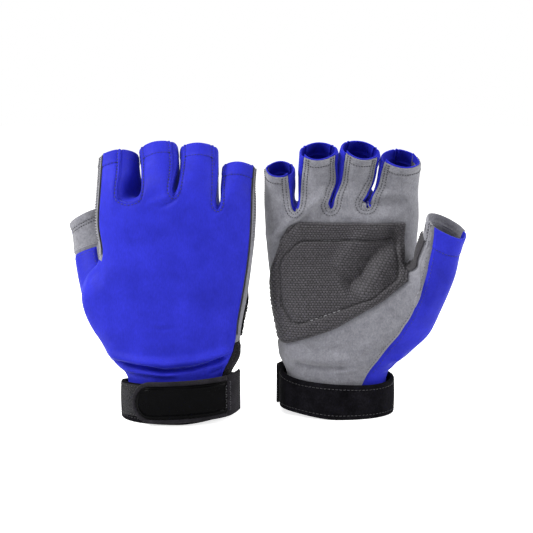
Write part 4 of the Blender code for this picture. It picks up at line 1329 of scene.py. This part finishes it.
def make_cuff(glove):
    """The neoprene band, with soft round edges and a stitched hem at its top and foot."""
    rows = []
    for s in np.linspace(0, CUFF_LENGTHS[-1], 260, endpoint=False):
        spot = cuff_place(np.array([[s, 0.0]]), 0)[0]
        foot, top = cuff_rims(spot)
        out, up = cuff_section(foot, top)
        wave = 0.10 * math.sin(s * 1.9 + 2 * math.sin(s * 0.31))
        pucker = wave * (peak(up, top - 2.6, 2.0) + peak(up, foot + 2.6, 2.0))
        hems = peak(up, top - CUFF_HEM, 0.5) + peak(up, foot + CUFF_HEM, 0.5)
        groove = -0.28 * hems * (out > -CUFF_THICK / 2)
        bulge = 0.35 * np.sin(np.pi * (up - foot) / (top - foot))
        drift = 0.2 * noise.noise(Vector((spot[0] * 0.08, spot[1] * 0.08, 3.0)))
        along_up = np.stack([np.full(len(up), s), up], axis=1)
        rows.append(cuff_place(along_up, out + pucker + groove + bulge + drift - 0.2))
    mesh = np.concatenate(rows), laced(len(rows), len(rows[0]), closed=True)
    glove.fixed("cuff_neoprene", mesh, "neoprene_black", ["cuff_band"], sharp=70)
    for rim, inset in ((1, -CUFF_HEM), (0, CUFF_HEM)):
        line = []
        for s in np.linspace(0, CUFF_LENGTHS[-1], 300):
            spot = cuff_place(np.array([[s, 0.0]]), 0)[0]
            line.append((s, cuff_rims(spot)[rim] + inset))
        line = np.array(line)
        line[-1, 0] -= 0.01
        points = cuff_place(line, -0.18)
        normals = unit(cuff_place(line, 1.0) - points)
        glove.sew("thread_black", [(points, normals)], 2.3, 1.7, 0.4, 0.02)


def strap_outline(start, margin=0.0):
    """The strap laid flat: square at its sewn end, round at its free end, falling slightly towards it."""
    end, half = STRAP_SPAN[1] - margin, STRAP_HEIGHT / 2 - margin
    bend = half * 0.92
    points = [(start, -half), (end - bend, -half)]
    for step in range(1, 24):
        angle = -math.pi / 2 + math.pi * step / 24
        points.append((end - bend + bend * math.cos(angle), half * math.sin(angle)))
    points += [(end - bend, half), (start, half)]
    return [(s, strap_middle(s) + z) for s, z in points]


def strap_middle(s):
    return STRAP_BASE + STRAP_HEIGHT / 2 + STRAP_SLOPE * s


def across_strap(s, inset):
    """A line across the strap, that far inside both edges."""
    reach = STRAP_HEIGHT / 2 - inset
    return [(s, strap_middle(s) - reach), (s, strap_middle(s) + reach)]


def tape_outline(span):
    (start, end), half = span, TAPE_HEIGHT / 2
    corners = ((start, -half), (end, -half), (end, half), (start, half))
    return [(s, strap_middle(min(s, STRAP_SPAN[1])) + z) for s, z in corners]


def pile(points, depth):
    """Small uneven tufts."""
    return np.array([0.12 * noise.noise(Vector((x * 1.1, z * 1.1, 0))) for x, z in points.tolist()])


def make_tapes(glove):
    """The loop tape sewn on the cuff, and the hook tape on the strap's underside, which lies on it."""
    top, bottom = plate(WRAP_GAP, LOOP_OUT, 0.3, pile)
    flat = Flat(tape_outline(LOOP_SPAN), 0.6, (0.9, 0.9), rows=(0.1, 0.3))
    glove.fixed("loop_pile", flat.mesh(cuff_place, top, bottom), "tape_black", ["loop_tape"])
    glove.sew("thread_black", [laid_height(cuff_place, 1.2, top, flat)], 2.2, 1.6, 0.36, 0.05)
    top, bottom = plate(HOOK_OUT - TAPE_THICK, HOOK_OUT, 0.3)
    flat = Flat(tape_outline(HOOK_SPAN), 0.6, (0.9, 0.9), rows=(0.1, 0.3))
    glove.bending("hook_pile", flat.mesh(cuff_place, top, bottom), "hooks_black", ["hook_tape"])


def make_strap(glove):
    """The neoprene strap: a raised soft border round the tab, and a folded, zigzag-stitched sewn end."""
    outline = strap_outline(STRAP_SPAN[0])
    flat = Flat(outline, 0.5, (0.8, 0.8), rows=(0.12, 0.3, 0.55, 0.85, 1.3, 1.9, 2.35, 2.65, 2.95))

    def relief(points, depth):
        s = points[:, 0]
        border = ramp(s, TAB_START - 1.0, TAB_START + 1.5)
        rim = 0.75 * (1 - ramp(depth, 2.2, 2.9)) * border
        fold = 0.55 * (1 - ramp(s, TAB_START - 1.6, TAB_START - 0.6)) - 0.4 * peak(s, TAB_START - 0.6, 0.5)
        seam = -0.3 * peak(s, STRAP_SPAN[0] + 3.0, 0.5)
        return rim + fold + seam

    top, bottom = plate(STRAP_OUT - STRAP_THICK, STRAP_OUT, 0.75, relief)
    mesh = flat.mesh(strap_place, top, bottom)
    glove.bending("strap_neoprene", mesh, "binding_black", ["closure_strap"], sharp=65)
    for s in (TAB_START - 2.2, STRAP_SPAN[0] + 3.0):
        glove.strap_threads.row(laid(strap_place, across_strap(s, 3.4), STRAP_OUT + 0.45), **ZIGZAG)


def make_tab(glove):
    """The glossy tab: a thin raised line inside its edge and a slightly hollow middle."""
    rows = (0.1, 0.25, 0.45, 0.8, 1.15, 1.4, 1.65, 1.9, 2.3)
    flat = Flat(strap_outline(TAB_START, TAB_MARGIN + 0.15), 0.5, (0.8, 0.8), rows)
    low = STRAP_OUT + WRAP_GAP
    high = low + TAB_THICK - 0.35

    def relief(points, depth):
        return 0.34 * peak(depth, 1.65, 0.34) - 0.12 * ramp(depth, 2.2, 6.0)

    top, bottom = plate(low, high, 0.45, relief)
    mesh = flat.mesh(strap_place, top, bottom)
    glove.bending("strap_gloss", mesh, "moulded_black", ["strap_tab"], sharp=65)
    line = across_strap(TAB_START + 1.0, TAB_MARGIN + 2.6)
    glove.strap_threads.row(laid(strap_place, line, high), **ZIGZAG)


def make_cuff_zigzag(glove):
    """A short zigzag row on the band, past the strap's free end."""
    start = STRAP_SPAN[1] + 2.0
    height = strap_middle(STRAP_SPAN[1]) + 6.6
    line = laid(cuff_place, [(start, height), (start + 9.0, height + 0.4)], LOOP_OUT)
    glove.threads["thread_black"].row(line, pitch=1.6, length=1.5, width=0.45, lift=0.15, zigzag=0.8)


def make_threads(glove):
    for name, rows in glove.threads.items():
        glove.fixed(name.replace("thread", "stitches"), rows.mesh(), name, sharp=80)
    glove.bending("strap_stitches", glove.strap_threads.mesh(), "thread_grey", sharp=80)


def make_glove(number):
    glove = Glove(number)
    for part in (make_back, make_palm, make_thumb, make_webs, make_vent, make_strip, make_patch, make_pad,
                 make_hem_linings, make_seam_lines, make_cuff, make_tapes, make_strap, make_tab,
                 make_cuff_zigzag, make_threads):
        part(glove)


# ---------------------------------------------------------------- camera, light and floor


def make_camera():
    """A long lens at eight degrees above the horizon, straight on."""
    elevation, away = math.radians(8), 0.750
    back = Vector((0, -math.cos(elevation), math.sin(elevation)))
    camera = bpy.data.objects.new("camera", bpy.data.cameras.new("camera"))
    camera.data.lens, camera.data.sensor_width = 84.7, 36
    camera.location = Vector((0.0025, 0, 0.090)) + back * away
    camera.rotation_euler = (-back).to_track_quat("-Z", "Y").to_euler()
    bpy.context.scene.collection.objects.link(camera)
    bpy.context.scene.camera = camera


def make_floor():
    """A wide pale floor that looks lit from within, so that it meets the white room without an edge."""
    finish = Finish("floor", Specular_IOR_Level=0.1)
    colour = finish.shades(finish.noise(40, 2.0), (0.3, 0.90), (0.7, 0.92))
    finish.tree.links.new(colour, finish.shader.inputs["Emission Color"])
    seen = add_node(finish.tree, "LightPath").outputs["Is Camera Ray"]
    glow = add_node(finish.tree, "Math", {0: seen, 1: 0.85}, operation="MULTIPLY").outputs[0]
    finish.tree.links.new(glow, finish.shader.inputs["Emission Strength"])
    finish.bump(finish.noise(2, 2.0), 0.02, 0.3)
    finish.done(colour, finish.shades(finish.noise(20, 1.0), (0.3, 0.85), (0.7, 0.9)))
    mesh = bpy.data.meshes.new("floor")
    half, drop = 6.0, 0.0002
    corners = ((-half, -half), (half, -half), (half, half), (-half, half))
    mesh.from_pydata([(x, y, -drop) for x, y in corners], [], [(0, 1, 2, 3)])
    mesh.materials.append(finish.material)
    floor = bpy.data.objects.new("floor", mesh)
    bpy.context.scene.collection.objects.link(floor)


def make_light():
    """A white room with large soft lamps at the left and right and weaker ones in front and behind."""
    scene = bpy.context.scene
    world = bpy.data.worlds.new("studio")
    world.use_nodes = True
    tree = world.node_tree
    backdrop, room = tree.nodes["Background"], tree.nodes.new("ShaderNodeBackground")
    backdrop.inputs["Color"].default_value = room.inputs["Color"].default_value = (1, 1, 1, 1)
    backdrop.inputs["Strength"].default_value = 1.0
    room.inputs["Strength"].default_value = 0.34
    choice, path = tree.nodes.new("ShaderNodeMixShader"), tree.nodes.new("ShaderNodeLightPath")
    tree.links.new(path.outputs["Is Camera Ray"], choice.inputs[0])
    tree.links.new(room.outputs[0], choice.inputs[1])
    tree.links.new(backdrop.outputs[0], choice.inputs[2])
    tree.links.new(choice.outputs[0], tree.nodes["World Output"].inputs["Surface"])
    scene.world = world
    scene.view_settings.view_transform = "Standard"
    lamps = (
        ("key", (-1.00, -0.30, 0.80), 0.5, 20.0),
        ("fill", (1.00, -0.25, 0.60), 0.6, 11.0),
        ("front", (-0.15, -0.80, 1.00), 0.5, 4.5),
        ("rear", (0.1, 0.9, 0.9), 0.9, 5.0),
    )
    for name, place, size, power in lamps:
        data = bpy.data.lights.new(name, "AREA")
        data.size, data.energy = size, power
        lamp = bpy.data.objects.new(name, data)
        lamp.location = place
        lamp.rotation_euler = (Vector((0, 0, 0.08)) - Vector(place)).to_track_quat("-Z", "Y").to_euler()
        scene.collection.objects.link(lamp)


make_camera()
make_light()
make_floor()
for number in range(2):
    make_glove(number)

bpy.context.view_layer.update()
